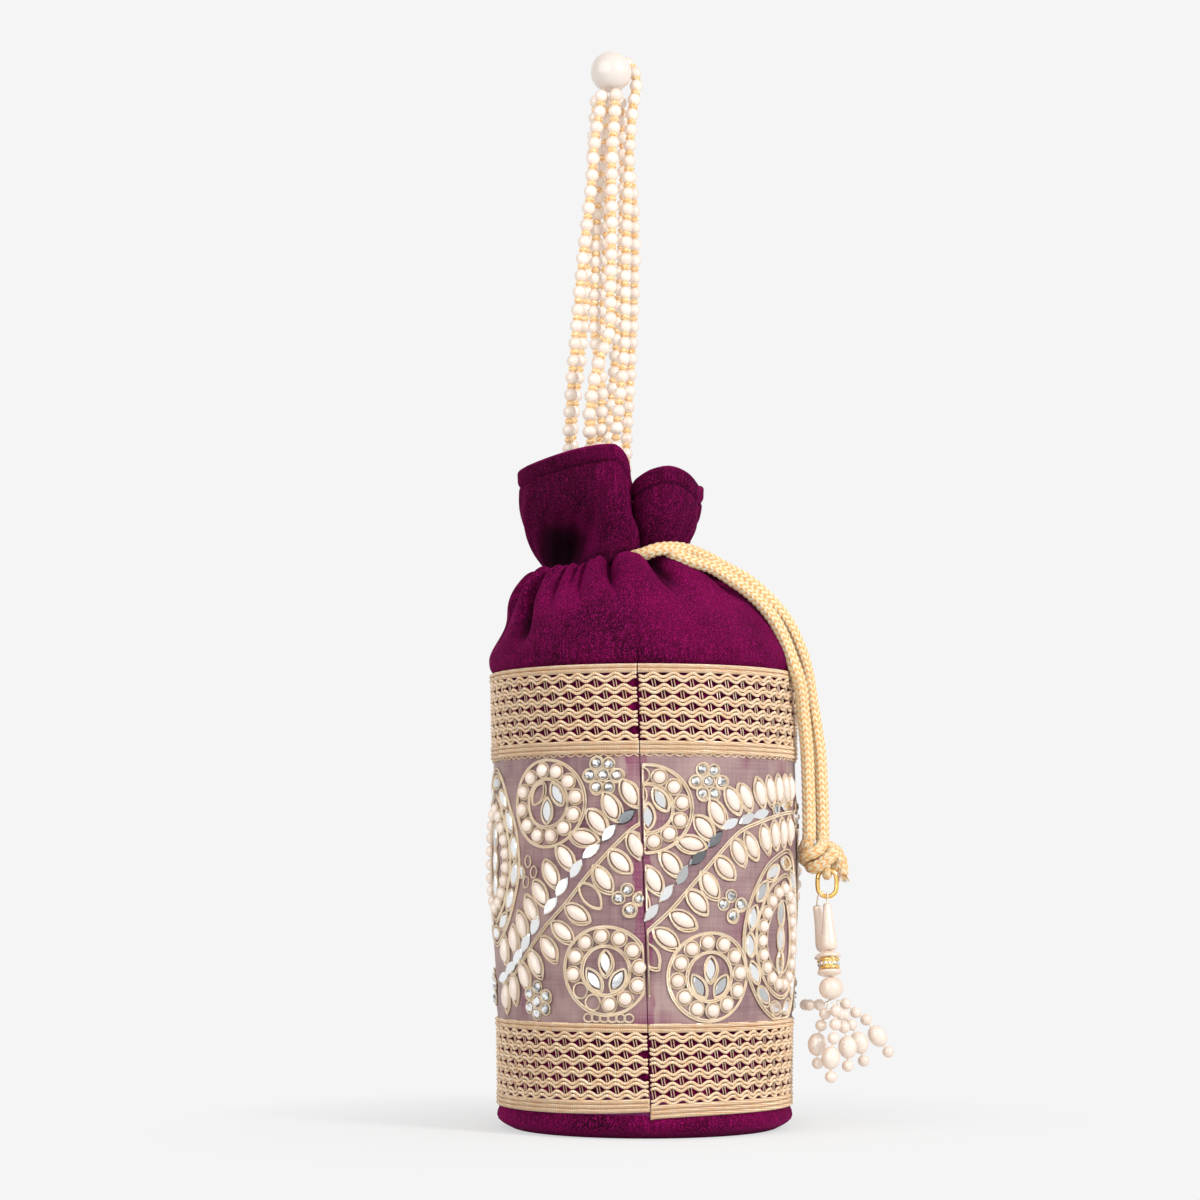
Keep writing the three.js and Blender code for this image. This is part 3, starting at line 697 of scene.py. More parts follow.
def seam_angles(height, radius, shift):
    """Angles of the near and the far side seam, which lie in one leaning plane."""
    x = SEAM_X_AT_FLOOR + SEAM_LEAN * height - shift
    lean = np.arcsin(np.clip(x / radius, -1, 1))
    return -math.pi / 2 + lean, math.pi / 2 - lean


def panel_span(side, height):
    """Arc from one seam to the other on the front or the back panel."""
    near, far = seam_angles(height, wall_radius(height), 0)
    if side == "front":
        ends = near, far
    else:
        ends = far - TURN, near
    return tuple((end + math.pi / 2) * ARC_RADIUS for end in ends)


def from_near_seam(side, along, height):
    """Arc between places on a panel and the near seam."""
    start, end = panel_span(side, height)
    return along - start if side == "front" else end - along


def outward_at(lines):
    """Horizontal outward directions at wall places."""
    angle = np.stack(lines)[..., 0] / ARC_RADIUS - math.pi / 2
    return np.stack([np.cos(angle), np.sin(angle), 0 * angle], -1)


# Velvet: wall, shoulder and neck are rings drawn off centre, the ruffle is lofted
SHOULDER_OUTLINE = [
    (SHOULDER_RADIUS, SHOULDER_HEIGHT), (51.6, 151.6), (51.5, 155.5), (49.6, 160.5), (46.3, 166.8),
    (41.8, 173.2), (36.8, 179), (32.4, 183.4), (29.2, 186.2), (26.8, 186.9), (24.8, 185.6),
    (23.4, 183.4),
]
# Each gather: its angle in degrees, the height where it fades out, its depth and its width
GATHERS = [
    (-168, 154, 4.4, 2.4), (-156, 169, 2.4, 1.7), (-142, 152, 5.2, 2.2), (-131, 172, 2.4, 1.6),
    (-117, 168, 3.6, 1.8), (-104, 177, 2.0, 1.4), (-94, 172, 2.6, 1.6), (-62, 169, 3.4, 1.8),
    (-46, 176, 2.0, 1.5), (-30, 167, 2.4, 1.8), (-14, 174, 2.0, 1.5), (2, 164, 2.9, 2.1),
    (18, 175, 1.8, 1.5), (34, 162, 3.1, 2.2), (50, 174, 2.0, 1.5), (66, 168, 2.6, 1.8),
    (84, 176, 1.7, 1.4), (100, 165, 2.9, 2.0), (116, 175, 2.0, 1.5), (130, 159, 3.3, 2.2),
    (147, 172, 2.2, 1.6), (163, 163, 2.9, 2.0), (178, 174, 2.0, 1.5),
]
# Hem and waist of the ruffle, from the near seam round the front and on round the back
FRONT_HEM = [
    (-3.8, -17, 210.5), (-2.2, -23, 212), (2.5, -27, 214.2), (8.8, -27.5, 215.2),
    (14.6, -23, 213.6), (18.2, -15, 210), (15.5, -9, 209.5), (11, -6, 209.5), (15, -2, 210.5),
    (19.5, 3, 212.5), (19, 10, 214), (13.5, 12.5, 213), (9.5, 14, 212.5), (12, 20, 214.5),
    (7.5, 26.5, 219), (0, 28, 218.5), (-4.5, 23.5, 215), (-5.5, 17, 213),
]
FRONT_WAIST = [
    (-1.8, -17, 191), (-0.6, -19.5, 192), (3.5, -22.5, 194), (9, -22.5, 195), (14, -18.5, 196),
    (16.8, -12.5, 196), (13, -8, 195), (8, -5.5, 195), (12, -1.5, 196), (16, 3, 197),
    (14.5, 9, 197), (9, 11, 196), (6, 12, 195), (7.5, 16.5, 195), (4, 21.5, 195),
    (-1.5, 22, 194), (-5, 19, 193), (-6, 14.5, 193),
]
BACK_HEM = [
    (-5.5, 17, 213), (-8, 23, 215.5), (-14, 28.5, 219.5), (-21.5, 28, 220), (-25.5, 22, 217),
    (-24, 16, 214.5), (-29.5, 18.5, 216.5), (-36, 16, 218.5), (-39, 9.5, 218), (-34.5, 4.5, 215.5),
    (-30.5, 1, 214.5), (-36, -2, 215.5), (-41.6, -8, 216), (-39.5, -14.5, 217), (-32, -21, 219),
    (-24, -25.5, 220.8), (-18, -28.5, 221.7), (-13, -30.5, 222), (-8.4, -31, 221.5), (-5.4, -28, 218),
    (-4.6, -22, 213), (-3.8, -17, 210.5),
]
BACK_WAIST = [
    (-6, 14.5, 193), (-8.5, 19, 193), (-13.5, 22.5, 193), (-19.5, 22, 193), (-22.5, 17.5, 193),
    (-21, 12.5, 193), (-25.5, 14.5, 192), (-31, 12.5, 192), (-33, 7, 192), (-28.5, 3, 192),
    (-25, 0.5, 192), (-31, -2, 191), (-37, -4, 191), (-35.5, -8.5, 191), (-28, -9.5, 191),
    (-21.5, -10, 192), (-17, -17, 193), (-14, -24, 194), (-8.5, -26.5, 194), (-3, -25.5, 193),
    (-1.4, -21, 191.5), (-1.8, -17, 191),
]
HEM_WIDTH = 4.6
HEM_STITCH = 2.4
HEM_ROLL = 0.5
HEM_TURN_STEPS = 8
STITCH_DEPTH = 0.7
STITCH_WIDTH = 0.5
# How far the middle section of the ruffle has come from the waist to the hem
RUFFLE_BULGE = (0.85, 0.85, 0.45)
RIPPLE = 0.25
INSIDE_ROWS = slice(1, 46, 2)
CLOTH = 1.1
VELVET_COLUMNS = 264
WALL_HEIGHTS = [
    0.4, 0.8, 1.4, 2.1, 3, 4.2, 5.6, 7, 9, 18, 30, 37, 44, 60, 80, 100, 116, 124, 136, 145,
]
SHOULDER_ROWS = 72
RUFFLE_ROWS = 66
GATHER_RISE = 17
GATHER_TOP = 186
GATHER_SPREAD = 1.2
GATHER_ALLOWED = 1.5
SOFT_WAVE = 0.35
PUFFS = 17
PUFF_PIT = 3
PUFF_OUT = 0.9
PUFF_HEIGHTS = (166, 183)
NECK_CLEAR = 21.2
SEAM_TUCK = 0.7
SEAM_TUCK_WIDTH = 0.8
FOOT_ROLL = 1.4
FOOT_ROLL_HEIGHT = 4.4
FOOT_ROLL_WIDTH = 2.6
FOOT_ROUND = 4.2
FOOT_ROUND_HEIGHT = 3.4
SLUMP = 3.4
SLUMP_HEIGHT = 169
SLUMP_WIDTH = 9
LINING_OUTLINE = [
    (1, 4.1), (46.6, 4.1), (46.9, 30), (49.3, 146), (45, 158), (41, 166), (33, 171), (23, 175),
    (15.5, 179),
]
LINING_FLOOR = 4.1
LINING_NECK = (18, 184)
LINING_ROUND = 0.314
LINING_COLUMNS = 150
LINING_ROWS = 40
LINING_TOP_ROW = 30
# In thicknesses of the velvet
LINING_INSET = 2.6
BASE_SIDES = 96
BASE_PROFILE = [(0, 1.35), (43.6, 1.35), (44.2, 1.1), (44.3, 0.7), (44, 0.25), (43.2, 0), (0, 0)]


def gather_depth(angle, radius, height):
    """Sum over the gathers of depth * fade in height * a bell curve of the distance round, and
    narrow pits between the puffs at the neck. No gather reaches the cord in the channel."""
    depth = np.zeros(np.broadcast(angle, radius).shape)
    for degrees, low, deep, width in GATHERS:
        away = np.angle(np.exp(1j * (angle - math.radians(degrees)))) * radius
        fade = smoothstep(low, low + GATHER_RISE, height)
        wide = width * (1 + GATHER_SPREAD * (1 - smoothstep(low, GATHER_TOP, height)))
        depth = depth + deep * fade * bell(away, wide)
    puff = np.abs(np.sin(PUFFS / 2 * angle + 1.3 * np.sin(3 * angle))) ** 0.7
    depth = depth + (PUFF_PIT * (1 - puff) - PUFF_OUT * puff) * smoothstep(*PUFF_HEIGHTS, height)
    return np.minimum(depth, np.maximum(radius - NECK_CLEAR, GATHER_ALLOWED))


def cloth_rings(side, across, outline):
    """Rings of the gathered cloth for (radius, height) stations. Above the shoulder they move
    to the neck's centre and tilt. The gathers, a tuck along each seam and the slump of the
    back's shoulder cut into them, and the foot rolls out and then turns in under the bag."""
    radius, height = np.asarray(outline, float).T[:, :, None]
    share = smoothstep(SHOULDER_HEIGHT, NECK_HEIGHT, height)
    near, far = seam_angles(np.minimum(height, NECK_HEIGHT), radius, NECK_SHIFT * share)
    start, end = (near, far) if side == "front" else (far, near + TURN)
    angle = start + (end - start) * across
    depth = gather_depth(angle, radius, height)
    from_seam = np.minimum(across, 1 - across) * (end - start) * radius
    tuck = SEAM_TUCK * bell(from_seam, SEAM_TUCK_WIDTH) * smoothstep(0, 6, height)
    roll = FOOT_ROLL * bell(height - FOOT_ROLL_HEIGHT, FOOT_ROLL_WIDTH)
    under = FOOT_ROUND * np.clip(1 - height / FOOT_ROUND_HEIGHT, 0, 1) ** 2
    soft = SOFT_WAVE * np.sin(3 * angle + 0.05 * height) * np.sin(height * 0.16)
    soft = soft * smoothstep(150, 160, height)
    slump = SLUMP * np.clip(-np.cos(angle), 0, 1) ** 3 * bell(height - SLUMP_HEIGHT, SLUMP_WIDTH)
    r = radius - depth - tuck + roll - under + soft - slump
    x = r * np.cos(angle)
    z = height + NECK_TILT * share * x - 0.75 * depth * share
    return np.stack([x + NECK_SHIFT * share, r * np.sin(angle), z], -1)


def outward_of(points):
    """Unit normals of a grid: across-slope x up-slope."""
    return unit(np.cross(np.gradient(points, axis=1), np.gradient(points, axis=0)))


def ruffle_rows(side, across, neck_ring, count):
    """The loft from the neck through the waist and a middle section to the hem, with a bulge
    above the stitched line and a row of small puckers along it."""
    hem, waist = (FRONT_HEM, FRONT_WAIST) if side == "front" else (BACK_HEM, BACK_WAIST)
    hem = spline(hem, across)
    waist = spline(waist, across)
    middle = waist + (hem - waist) * RUFFLE_BULGE
    points = spline(np.stack([neck_ring, waist, middle, hem]), np.linspace(0, 1, count))
    normal = outward_of(points)
    below = np.linalg.norm(points - points[-1:], axis=-1, keepdims=True)
    run = np.cumsum(np.linalg.norm(np.diff(hem, axis=0, prepend=hem[:1]), axis=1))[None, :, None]
    stitch = bell(below - HEM_WIDTH, STITCH_WIDTH) * (0.75 + 0.25 * np.cos(run * TURN / HEM_STITCH))
    roll = smoothstep(HEM_WIDTH, HEM_WIDTH - 2, below)
    ripple = RIPPLE * np.sin(run * 0.9 + below * 0.35) * smoothstep(0, 12, below)
    return points + normal * (HEM_ROLL * roll - STITCH_DEPTH * stitch + ripple)


def wall_painted_shade(rings):
    """Painted shade for the wall and shoulder, as a tone: 1 on a puff, a little less on the wall,
    and low under the foot and in a pit, from its distance inside the middle reach of its own
    row."""
    centre = np.array([NECK_SHIFT, 0, 0]) * smoothstep(SHOULDER_HEIGHT, NECK_HEIGHT, rings[..., 2:])
    reach = np.linalg.norm((rings - centre)[..., :2], axis=-1)
    inside = np.median(reach, axis=1, keepdims=True) - reach
    # Painted shade in the pits, under the foot and on the middle of the wall.
    pit = 0.85 * smoothstep(0.8, 3.4, inside) * smoothstep(152, 158, rings[..., 2])
    under = 0.7 * smoothstep(2.2, 0.6, rings[..., 2])
    wall_shade = 0.2 * (smoothstep(8, 40, rings[..., 2]) - smoothstep(142, 172, rings[..., 2]))
    return 1 - np.maximum(np.maximum(pit, under), wall_shade)


def ruffle_painted_shade(ruffle):
    """Painted shade on the ruffle, as a tone: low in the deep hollow above the cord on the near side,
    along its foot and the stitched line, somewhat low all over and lower towards the near back corner."""
    x, y, z = np.moveaxis(ruffle, -1, 0)
    # Painted shade in the hollow, along the foot, in the stitched line and over the whole ruffle.
    hollow = np.exp(-(((x + 27) / 9.5) ** 4)) * smoothstep(204, 195, z) * smoothstep(4, -4, y)
    foot = 0.7 * smoothstep(192, 187, z)
    below = np.linalg.norm(ruffle - ruffle[-1:], axis=-1)
    stitch = 0.8 * bell(below - HEM_WIDTH, 0.55)
    shade = 0.28 + 0.22 * smoothstep(-6, -26, x) * smoothstep(6, -6, y)
    return 1 - 0.96 * np.max([hollow, foot, stitch, shade], axis=0)


def velvet_panel(side):
    """Outer face from the foot to the hem, over it in a half circle, and down inside."""
    across = np.linspace(0, 1, VELVET_COLUMNS)
    wall = [(wall_radius(z), z) for z in WALL_HEIGHTS]
    shoulder = spline(SHOULDER_OUTLINE, np.linspace(0, 1, SHOULDER_ROWS))
    rings = cloth_rings(side, across, [*wall, *shoulder])
    ruffle = ruffle_rows(side, across, rings[-1], RUFFLE_ROWS)
    normal = outward_of(ruffle)
    up = unit(ruffle[-1] - ruffle[-2])
    turn = np.linspace(0, math.pi, HEM_TURN_STEPS)[1:, None, None]
    over = ruffle[-1] - normal[-1] * CLOTH * (1 - np.cos(turn)) + up * CLOTH * np.sin(turn)
    inside = (ruffle - normal * 2 * CLOTH)[::-1][INSIDE_ROWS]
    points = np.concatenate([rings, ruffle[1:], over, inside])
    # The tone is painted shade on the wall, shoulder and ruffle; the hem's turn and the inside have none.
    tone = np.ones(points.shape[:2])
    tone[:len(rings)] = wall_painted_shade(rings)
    tone[len(rings):len(rings) + len(ruffle) - 1] = ruffle_painted_shade(ruffle[1:])
    piece = grid_piece(f"velvet_{side}_cloth", points, tone=tone.ravel())
    place(piece, "bag", "velvet", VELVET, f"velvet_{side}")


def lining_piece():
    """Floor, wall, shoulder and neck as rings, then the ruffle's inner side. Faces look in."""
    across = np.linspace(0, 1, LINING_COLUMNS)[:-1]
    halves = []
    for side in SIDES:
        rings = cloth_rings(side, across, LINING_OUTLINE)
        rings[0] = (0, 0, LINING_FLOOR)
        neck = cloth_rings(side, across, [LINING_NECK])[0]
        ruffle = ruffle_rows(side, across, neck, LINING_ROWS)
        inner = (ruffle - outward_of(ruffle) * LINING_INSET * CLOTH)[1:LINING_TOP_ROW]
        halves.append(np.concatenate([rings, inner]))
    points = np.concatenate(halves, axis=1)[::-1]
    run = np.cumsum(np.linalg.norm(np.diff(points, axis=0, prepend=points[:1]), axis=-1), axis=0)
    around = np.broadcast_to(np.linspace(0, LINING_ROUND, points.shape[1]), run.shape)
    piece = grid_piece("satin_lining", points, np.stack([around, run * MM], -1), around=True)
    place(piece, "bag", "lining", SATIN, "lining")


def base_piece():
    """The disc under the floor, turned from a profile with a rounded rim."""
    piece = turned("base_cover_cloth", BASE_PROFILE, (0, 0, 0), (0, 0, 1), BASE_SIDES)
    add_tone(piece.data, np.ones(len(piece.data.vertices)))
    place(piece, "bag", "velvet", VELVET, "base_cover")


for panel_side in SIDES:
    velvet_panel(panel_side)
lining_piece()
base_piece()
coated(nodes["base_board"], BOARD)
coated(nodes["wall_stiffener"], BUCKRAM)


# Lace bands
SEAM_GAP = 0.15
EYE_PITCH = 6.1
EYE_ROW = 3.75
EYE_ROWS = 5
EYE_WAVE = 0.66
WAVE_UNEVEN = 0.25
WAVE_OVER = 0.2
WAVE_STEPS = 300
EYES_START = 5.6
LACE_CORD = 0.52
CORD_PAIR = 0.62
CORD_LIFT = 0.8
CHAIN_STITCH = 1.75
CHAIN_CORD = 0.33
CHAIN_LIFT = 0.95
CHAIN_SWAY = 0.4
CHAIN_WIND = 0.3
CHAIN_STEPS = 500
CHAINS_FROM_LOW = (0.7, 2.1, 3.5)
CHAINS_FROM_TOP = (0.7, 2.1)
TAPE_LOW = 4.2
TAPE_TOP = 2.8
TAPE_LIFT = 0.6
TAPE_STEPS = 120
CROSSING = 0.2
CROSSING_PAIR = 0.45
PICOT = 0.26
PICOT_PITCH = 3.2
PICOT_DROP = 0.9
PICOT_STEPS = 420
# At the near seam the lower lace moves up or down, and settles over a length of its arc
SEAM_SAG = {"front": (-1.3, 12), "back": (1.2, 20)}


def lace_line(side, height, wave, lift, count):
    """A line across a panel: wave gives its (height, lift) change for the arc along it."""
    start, end = panel_span(side, height)
    along = np.linspace(start + SEAM_GAP, end - SEAM_GAP, count)
    up, out = wave(along)
    return np.stack([along, height + up, lift + out], -1)


def sagged(side, lines):
    """At the near seam the lower lace hangs on the front panel and is drawn up on the back:
    the height changes by an exponential of the distance from the seam."""
    lines = np.array(lines, float)
    move, reach = SEAM_SAG[side]
    change = move * np.exp(-from_near_seam(side, lines[..., 0], BOTTOM_LACE_HEIGHT) / reach)
    lines[..., 1] += change * smoothstep(PANEL_LOW, BOTTOM_LACE_HEIGHT, lines[..., 1])
    return on_wall(lines)


def wave_cord(side, height, turn, offset):
    """One cord of a pair: a cosine in height, a little uneven, that rises over its neighbour."""
    def wave(along):
        phase = along / EYE_PITCH * TURN + turn + WAVE_UNEVEN * np.sin(along * 0.31 + height)
        return EYE_WAVE * np.cos(phase) + offset, WAVE_OVER * np.cos(2 * phase)
    return lace_line(side, height, wave, CORD_LIFT, WAVE_STEPS)


def chain_cord(side, height, turn):
    """A cord that winds round its line: a sine in height and a cosine in lift."""
    def wave(along):
        phase = along / CHAIN_STITCH * TURN + turn
        return CHAIN_SWAY * np.sin(phase), CHAIN_WIND * np.cos(phase)
    return lace_line(side, height, wave, CHAIN_LIFT, CHAIN_STEPS)


def scallop(along):
    """Small loops that hang below the edge: minus the size of a sine."""
    return -PICOT_DROP * np.abs(np.sin(along / PICOT_PITCH * math.pi)), 0 * along


def tape(side, low, high):
    """The narrow strip under the chains, from seam to seam."""
    start, end = panel_span(side, (low + high) / 2)
    along = np.linspace(start + SEAM_GAP, end - SEAM_GAP, TAPE_STEPS)
    strip = [np.stack(np.broadcast_arrays(along, h, TAPE_LIFT), -1) for h in (low, high)]
    uv = np.stack([np.stack([along * 0, along * 0 + k], -1) for k in range(2)])
    return grid_piece("tape", sagged(side, strip), uv)


def crossing_threads(side, low):
    """Two slanting threads in each eye. The eyes of every other row lie half a pitch further."""
    start, end = panel_span(side, low + LACE_WIDTH / 2)
    threads = []
    for row in range(EYE_ROWS):
        middle = (0 if row % 2 else 0.5) * EYE_PITCH
        first = math.ceil((start + 1.5 - middle) / EYE_PITCH)
        last = math.floor((end - 1.5 - middle) / EYE_PITCH)
        rise = np.linspace(EYE_ROW + 0.6, -0.6, 4) + low + EYES_START + row * EYE_ROW
        for k in range(first, last + 1):
            for aside in (-CROSSING_PAIR, CROSSING_PAIR):
                along = middle + k * EYE_PITCH + aside + np.linspace(-0.5, 0.5, 4)
                threads.append(np.stack([along, rise, np.full(4, TAPE_LIFT)], -1))
    return threads


def lace_band(name, side, low, picot):
    """Double cords in opposite waves leave rows of eyes with slanting threads across them.
    Chains of two crossing cords, on a tape, run above and below."""
    top = low + LACE_WIDTH
    waves = [
        wave_cord(side, low + EYES_START + row * EYE_ROW, row * math.pi, offset)
        for row in range(EYE_ROWS + 1) for offset in (-CORD_PAIR, CORD_PAIR)
    ]
    heights = [*(low + h for h in CHAINS_FROM_LOW), *(top - h for h in CHAINS_FROM_TOP)]
    chains = [chain_cord(side, height, turn) for height in heights for turn in (0, math.pi)]
    threads = crossing_threads(side, low)
    parts = [
        tubes("cords", sagged(side, waves), LACE_CORD, 5, outward_at(waves)),
        tubes("braid", sagged(side, chains), CHAIN_CORD, 4, outward_at(chains)),
        tape(side, low, low + TAPE_LOW),
        tape(side, top - TAPE_TOP, top),
        tubes("crossing", sagged(side, threads), CROSSING, 3, outward_at(threads)),
    ]
    if picot:
        edge = [lace_line(side, low + 0.2, scallop, CORD_LIFT, PICOT_STEPS)]
        parts.append(tubes("picot", on_wall(edge), PICOT, 4, outward_at(edge)))
    place(merged_pieces(f"{name}_{side}_thread", parts), "bag", "lace", LACE, f"{name}_{side}")


for panel_side in SIDES:
    lace_band("top_lace", panel_side, TOP_LACE_HEIGHT, True)
    lace_band("bottom_lace", panel_side, BOTTOM_LACE_HEIGHT, False)


# Tissue panels
PANEL_BULGE = 1.1
TISSUE_LIFT = 0.55
TISSUE_TUCK = 0.6
TISSUE_ROWS = 60
TISSUE_COLUMNS = 180
# Width of the pink at the near seam, and on the back what is added away from mid height
PINK_FRONT = 2.4
PINK_BACK = 3.2
PINK_SPREAD = 1.6
PANEL_MIDDLE = 78
PANEL_HALF = 42


def panel_bulge(height):
    """The padded panel stands out by a half sine wave between the lace bands."""
    share = (height - PANEL_LOW) / (PANEL_HIGH - PANEL_LOW)
    return PANEL_BULGE * np.sin(math.pi * np.clip(share, 0, 1))


def tissue_panel(side):
    """Cloth on the wall, tucked under both lace bands, with a faint cockle. Its tone rises to
    1 at the near seam, where the cloth is deep pink, over a band that is wider on the back
    panel and narrowest there at mid height."""
    height = np.linspace(PANEL_LOW - TISSUE_TUCK, PANEL_HIGH + TISSUE_TUCK, TISSUE_ROWS)[:, None]
    start, end = panel_span(side, height)
    along = start + SEAM_GAP + (end - start - 2 * SEAM_GAP) * np.linspace(0, 1, TISSUE_COLUMNS)
    cockle = 0.14 * np.sin(along * 0.5 + height * 0.2) + 0.1 * np.sin(height * 0.7 - along * 0.23)
    lift = TISSUE_LIFT + cockle + panel_bulge(height)
    places = np.stack(np.broadcast_arrays(along, height, lift), -1)
    wider = PINK_SPREAD * np.abs((height - PANEL_MIDDLE) / PANEL_HALF)
    width = PINK_FRONT if side == "front" else PINK_BACK + wider
    tone = np.clip(1 - 0.5 * from_near_seam(side, along, height) / width, 0, 1)
    piece = grid_piece(f"tissue_{side}_cloth", on_wall(places), places[..., :2] * MM, tone=tone.ravel())
    place(piece, "bag", "tissue", TISSUE, f"tissue_panel_{side}")


for panel_side in SIDES:
    tissue_panel(panel_side)


# Embroidery: stones and gold thread on the tissue, one pattern repeated round both panels.
# Places are (x, height) from the start of a repeat, and turns are degrees from the horizontal
PATTERN_LENGTH = 122
PATTERN_START = {"back": (-33.2, 0), "front": (0.7, -2)}
STONE_SIZES = {
    "oval": (4.25, 2.15, 1.9), "mirror": (3.8, 1.85, 0.6), "round": (2.2, 2.2, 2.2),
    "chaton": (1.6, 1.6, 1.6),
}
STONE_SINK = 0.25
STONE_MARGIN = 1.4
THREAD = 0.31
THREAD_LIFT = 0.95
THREAD_MARGIN = 0.6
THREAD_END = 0.8
FLOWER_RADIUS = 4.3
LEAF_LOOP = (4.9, 2.7)
CHATON_LOOP = 1.95
LOOP_CORNERS = 14
MEDALLION_PEARLS = 12
MEDALLION_REACH = 10.9
MEDALLION_RINGS = (13.6, 14.2, 8.1, 7.5)
# Shares of a paisley's outline, with the step between stones
PAISLEY_THREADS = (1.0, 0.965, 0.72, 0.69, 0.42)
PAISLEY_MIRRORS = (0.845, 9.2)
PAISLEY_PEARLS = (0.555, 4.5)
PAISLEY_CORE = (-8, 0, 8)
SMALL_LOOPS = (-18.5, -3, 2.7)
SMALL_LOOPS_UP = 1.7
SMALL_LOOP = (1.5, 1.3)
UPPER_LEAVES = [
    (28.6, 108.5, 120), (22.7, 104.3, 117), (18.3, 99.5, 129), (14.1, 94.5, 168), (7.5, 88.3, 128),
    (2.1, 83.2, 117), (-2.5, 77, 122), (-6.4, 71.9, 121), (-11.3, 66.7, 114), (-16.2, 62, 98),
    (-22.8, 58.4, 94), (33.8, 109.6, 117), (40.3, 110.9, 108), (45.6, 111.9, 102), (50.8, 112.4, 98),
    (55.8, 112.8, 94), (60.8, 112.9, 92),
]
LOWER_LEAVES = [
    (30.6, 91.9, 115), (25.6, 86.8, 133), (20.3, 81.5, 122), (16.1, 76.2, 132), (11.4, 70.6, 150),
    (6.2, 64.9, 143), (0.7, 59.5, 126), (-5.3, 54.8, 118), (-11, 50.4, 114), (-17.3, 46.2, 100),
    (-23.5, 43.5, 92), (36, 93.8, 121), (42.4, 96.3, 106), (47.8, 97.5, 100), (53.4, 98.4, 96),
    (59.2, 99.2, 94),
]
BRANCH_MIRRORS = [
    (27.6, 100.9, 35), (22.1, 95.9, 48), (16.3, 90.1, 33), (11.2, 84.5, 52), (6.1, 78.9, 54),
    (1.6, 73, 50), (-5, 66.9, 62), (-9.9, 61, 57), (-14.5, 56.5, 45), (-19.4, 52.9, 37),
    (-25.6, 49.6, 22), (34.4, 102.6, 22), (41, 104.2, 14), (56.4, 107.2, 6),
]
# Painted reflections: how bright each branch mirror's foil is, from grey to silver.
BRANCH_REFLECTIONS = {
    "back": [0.05, 0.5, 0.95, 1, 0.9, 1, 0.95, 0.9, 1, 0.95, 1, 0.9, 1, 0.8],
    "front": [1, 0.15, 0.1, 0.55, 1, 0.9, 0.5, 1, 0.9, 1, 0.8, 0.85, 0.95, 0.9],
}
STEM = [
    (-28, 48.2), (-22.6, 49.9), (-16.5, 52.8), (-9.1, 59.9), (-1.5, 67.4), (6.5, 74.8), (14.3, 83.8),
    (22.7, 92.8), (30, 99.4), (38, 102.6), (47, 104.9), (55, 106.2), (63, 106.8),
]
NEAR_PAISLEY = [
    (56, 93), (49, 91), (43, 87.5), (38, 81), (34.5, 74), (33, 66), (33.5, 58), (36.5, 50),
    (42, 43), (49.5, 38.4), (57.5, 37.2), (65, 40.4), (69.5, 48), (71, 57), (70, 67), (67.5, 76),
    (64.5, 84), (61, 91),
]
FAR_PAISLEY = [
    (-30, 117.5), (-23.6, 113.5), (-17.3, 104.1), (-13.6, 97.1), (-11.9, 86.1), (-13.6, 78.1),
    (-18.4, 68.3), (-25, 62), (-31, 59.5), (-38, 63), (-44, 70), (-48, 79), (-49, 89),
    (-46.5, 100), (-41, 110), (-35.5, 116),
]
# Stones that have come off near the near seam
LOST_STONES = {
    "back": [(16.1, 76.2), (12, 47.1), (16.4, 43.5), (-3.8, 108.7)], "front": [(-5.9, 116.2)],
}


def pointed_oval(half, wide, sharp, count):
    """(half * cos t, wide * sin t * |sin t|^sharp): pointed at both ends where sharp is above 0."""
    t = steps_round(count)
    return np.stack([half * np.cos(t), wide * np.sin(t) * np.abs(np.sin(t)) ** sharp], -1)


def domed_stone(outline, rings):
    """Rings (scale, height) of one outline, closed to a point above and below."""
    flat = [np.concatenate([outline * s, np.full((len(outline), 1), h)], 1) for s, h in rings]
    return np.concatenate(flat), grid_faces(len(rings), len(outline), around=True)


def turned_by(points, degrees):
    """Flat points turned about the origin."""
    t = math.radians(degrees)
    return points @ np.array([[math.cos(t), math.sin(t)], [-math.sin(t), math.cos(t)]])


def wall_frames(along, degrees):
    """Columns: the direction at that turn on the wall, the one across it, and outward."""
    angle = along / ARC_RADIUS - math.pi / 2
    flat = 0 * angle
    right = np.stack([-np.sin(angle), np.cos(angle), flat], -1)
    up = np.stack([flat, flat, flat + 1], -1)
    t = np.radians(degrees)[:, None]
    first = np.cos(t) * right + np.sin(t) * up
    second = np.cos(t) * up - np.sin(t) * right
    return np.stack([first, second, np.cross(first, second)], -1)


def stone_shape(around):
    """A cut stone: a bevelled ring of facets round a flat table."""
    rings = [(0, -0.4), (1, 0), (0.95, 0.3), (0.55, 0.75), (0, 0.8)]
    return domed_stone(circle_points(steps_round(around)), rings)


# Rings of (scale, height) that close each kind of stone
STONE_SHAPES = {
    "oval": domed_stone(
        pointed_oval(1, 1, 0.3, 14), [(0, -0.4), (1, 0), (0.9, 0.5), (0.6, 0.86), (0, 1)]
    ),
    "round": domed_stone(
        pointed_oval(1, 1, 0, 12), [(0, -0.3), (1, 0.1), (0.87, 0.6), (0.5, 0.93), (0, 1.05)]
    ),
    "mirror": domed_stone(
        pointed_oval(1, 1, 0.75, 14), [(0, -0.5), (1, 0.1), (0.82, 1), (0, 1.05)]
    ),
    "chaton": stone_shape(8),
}


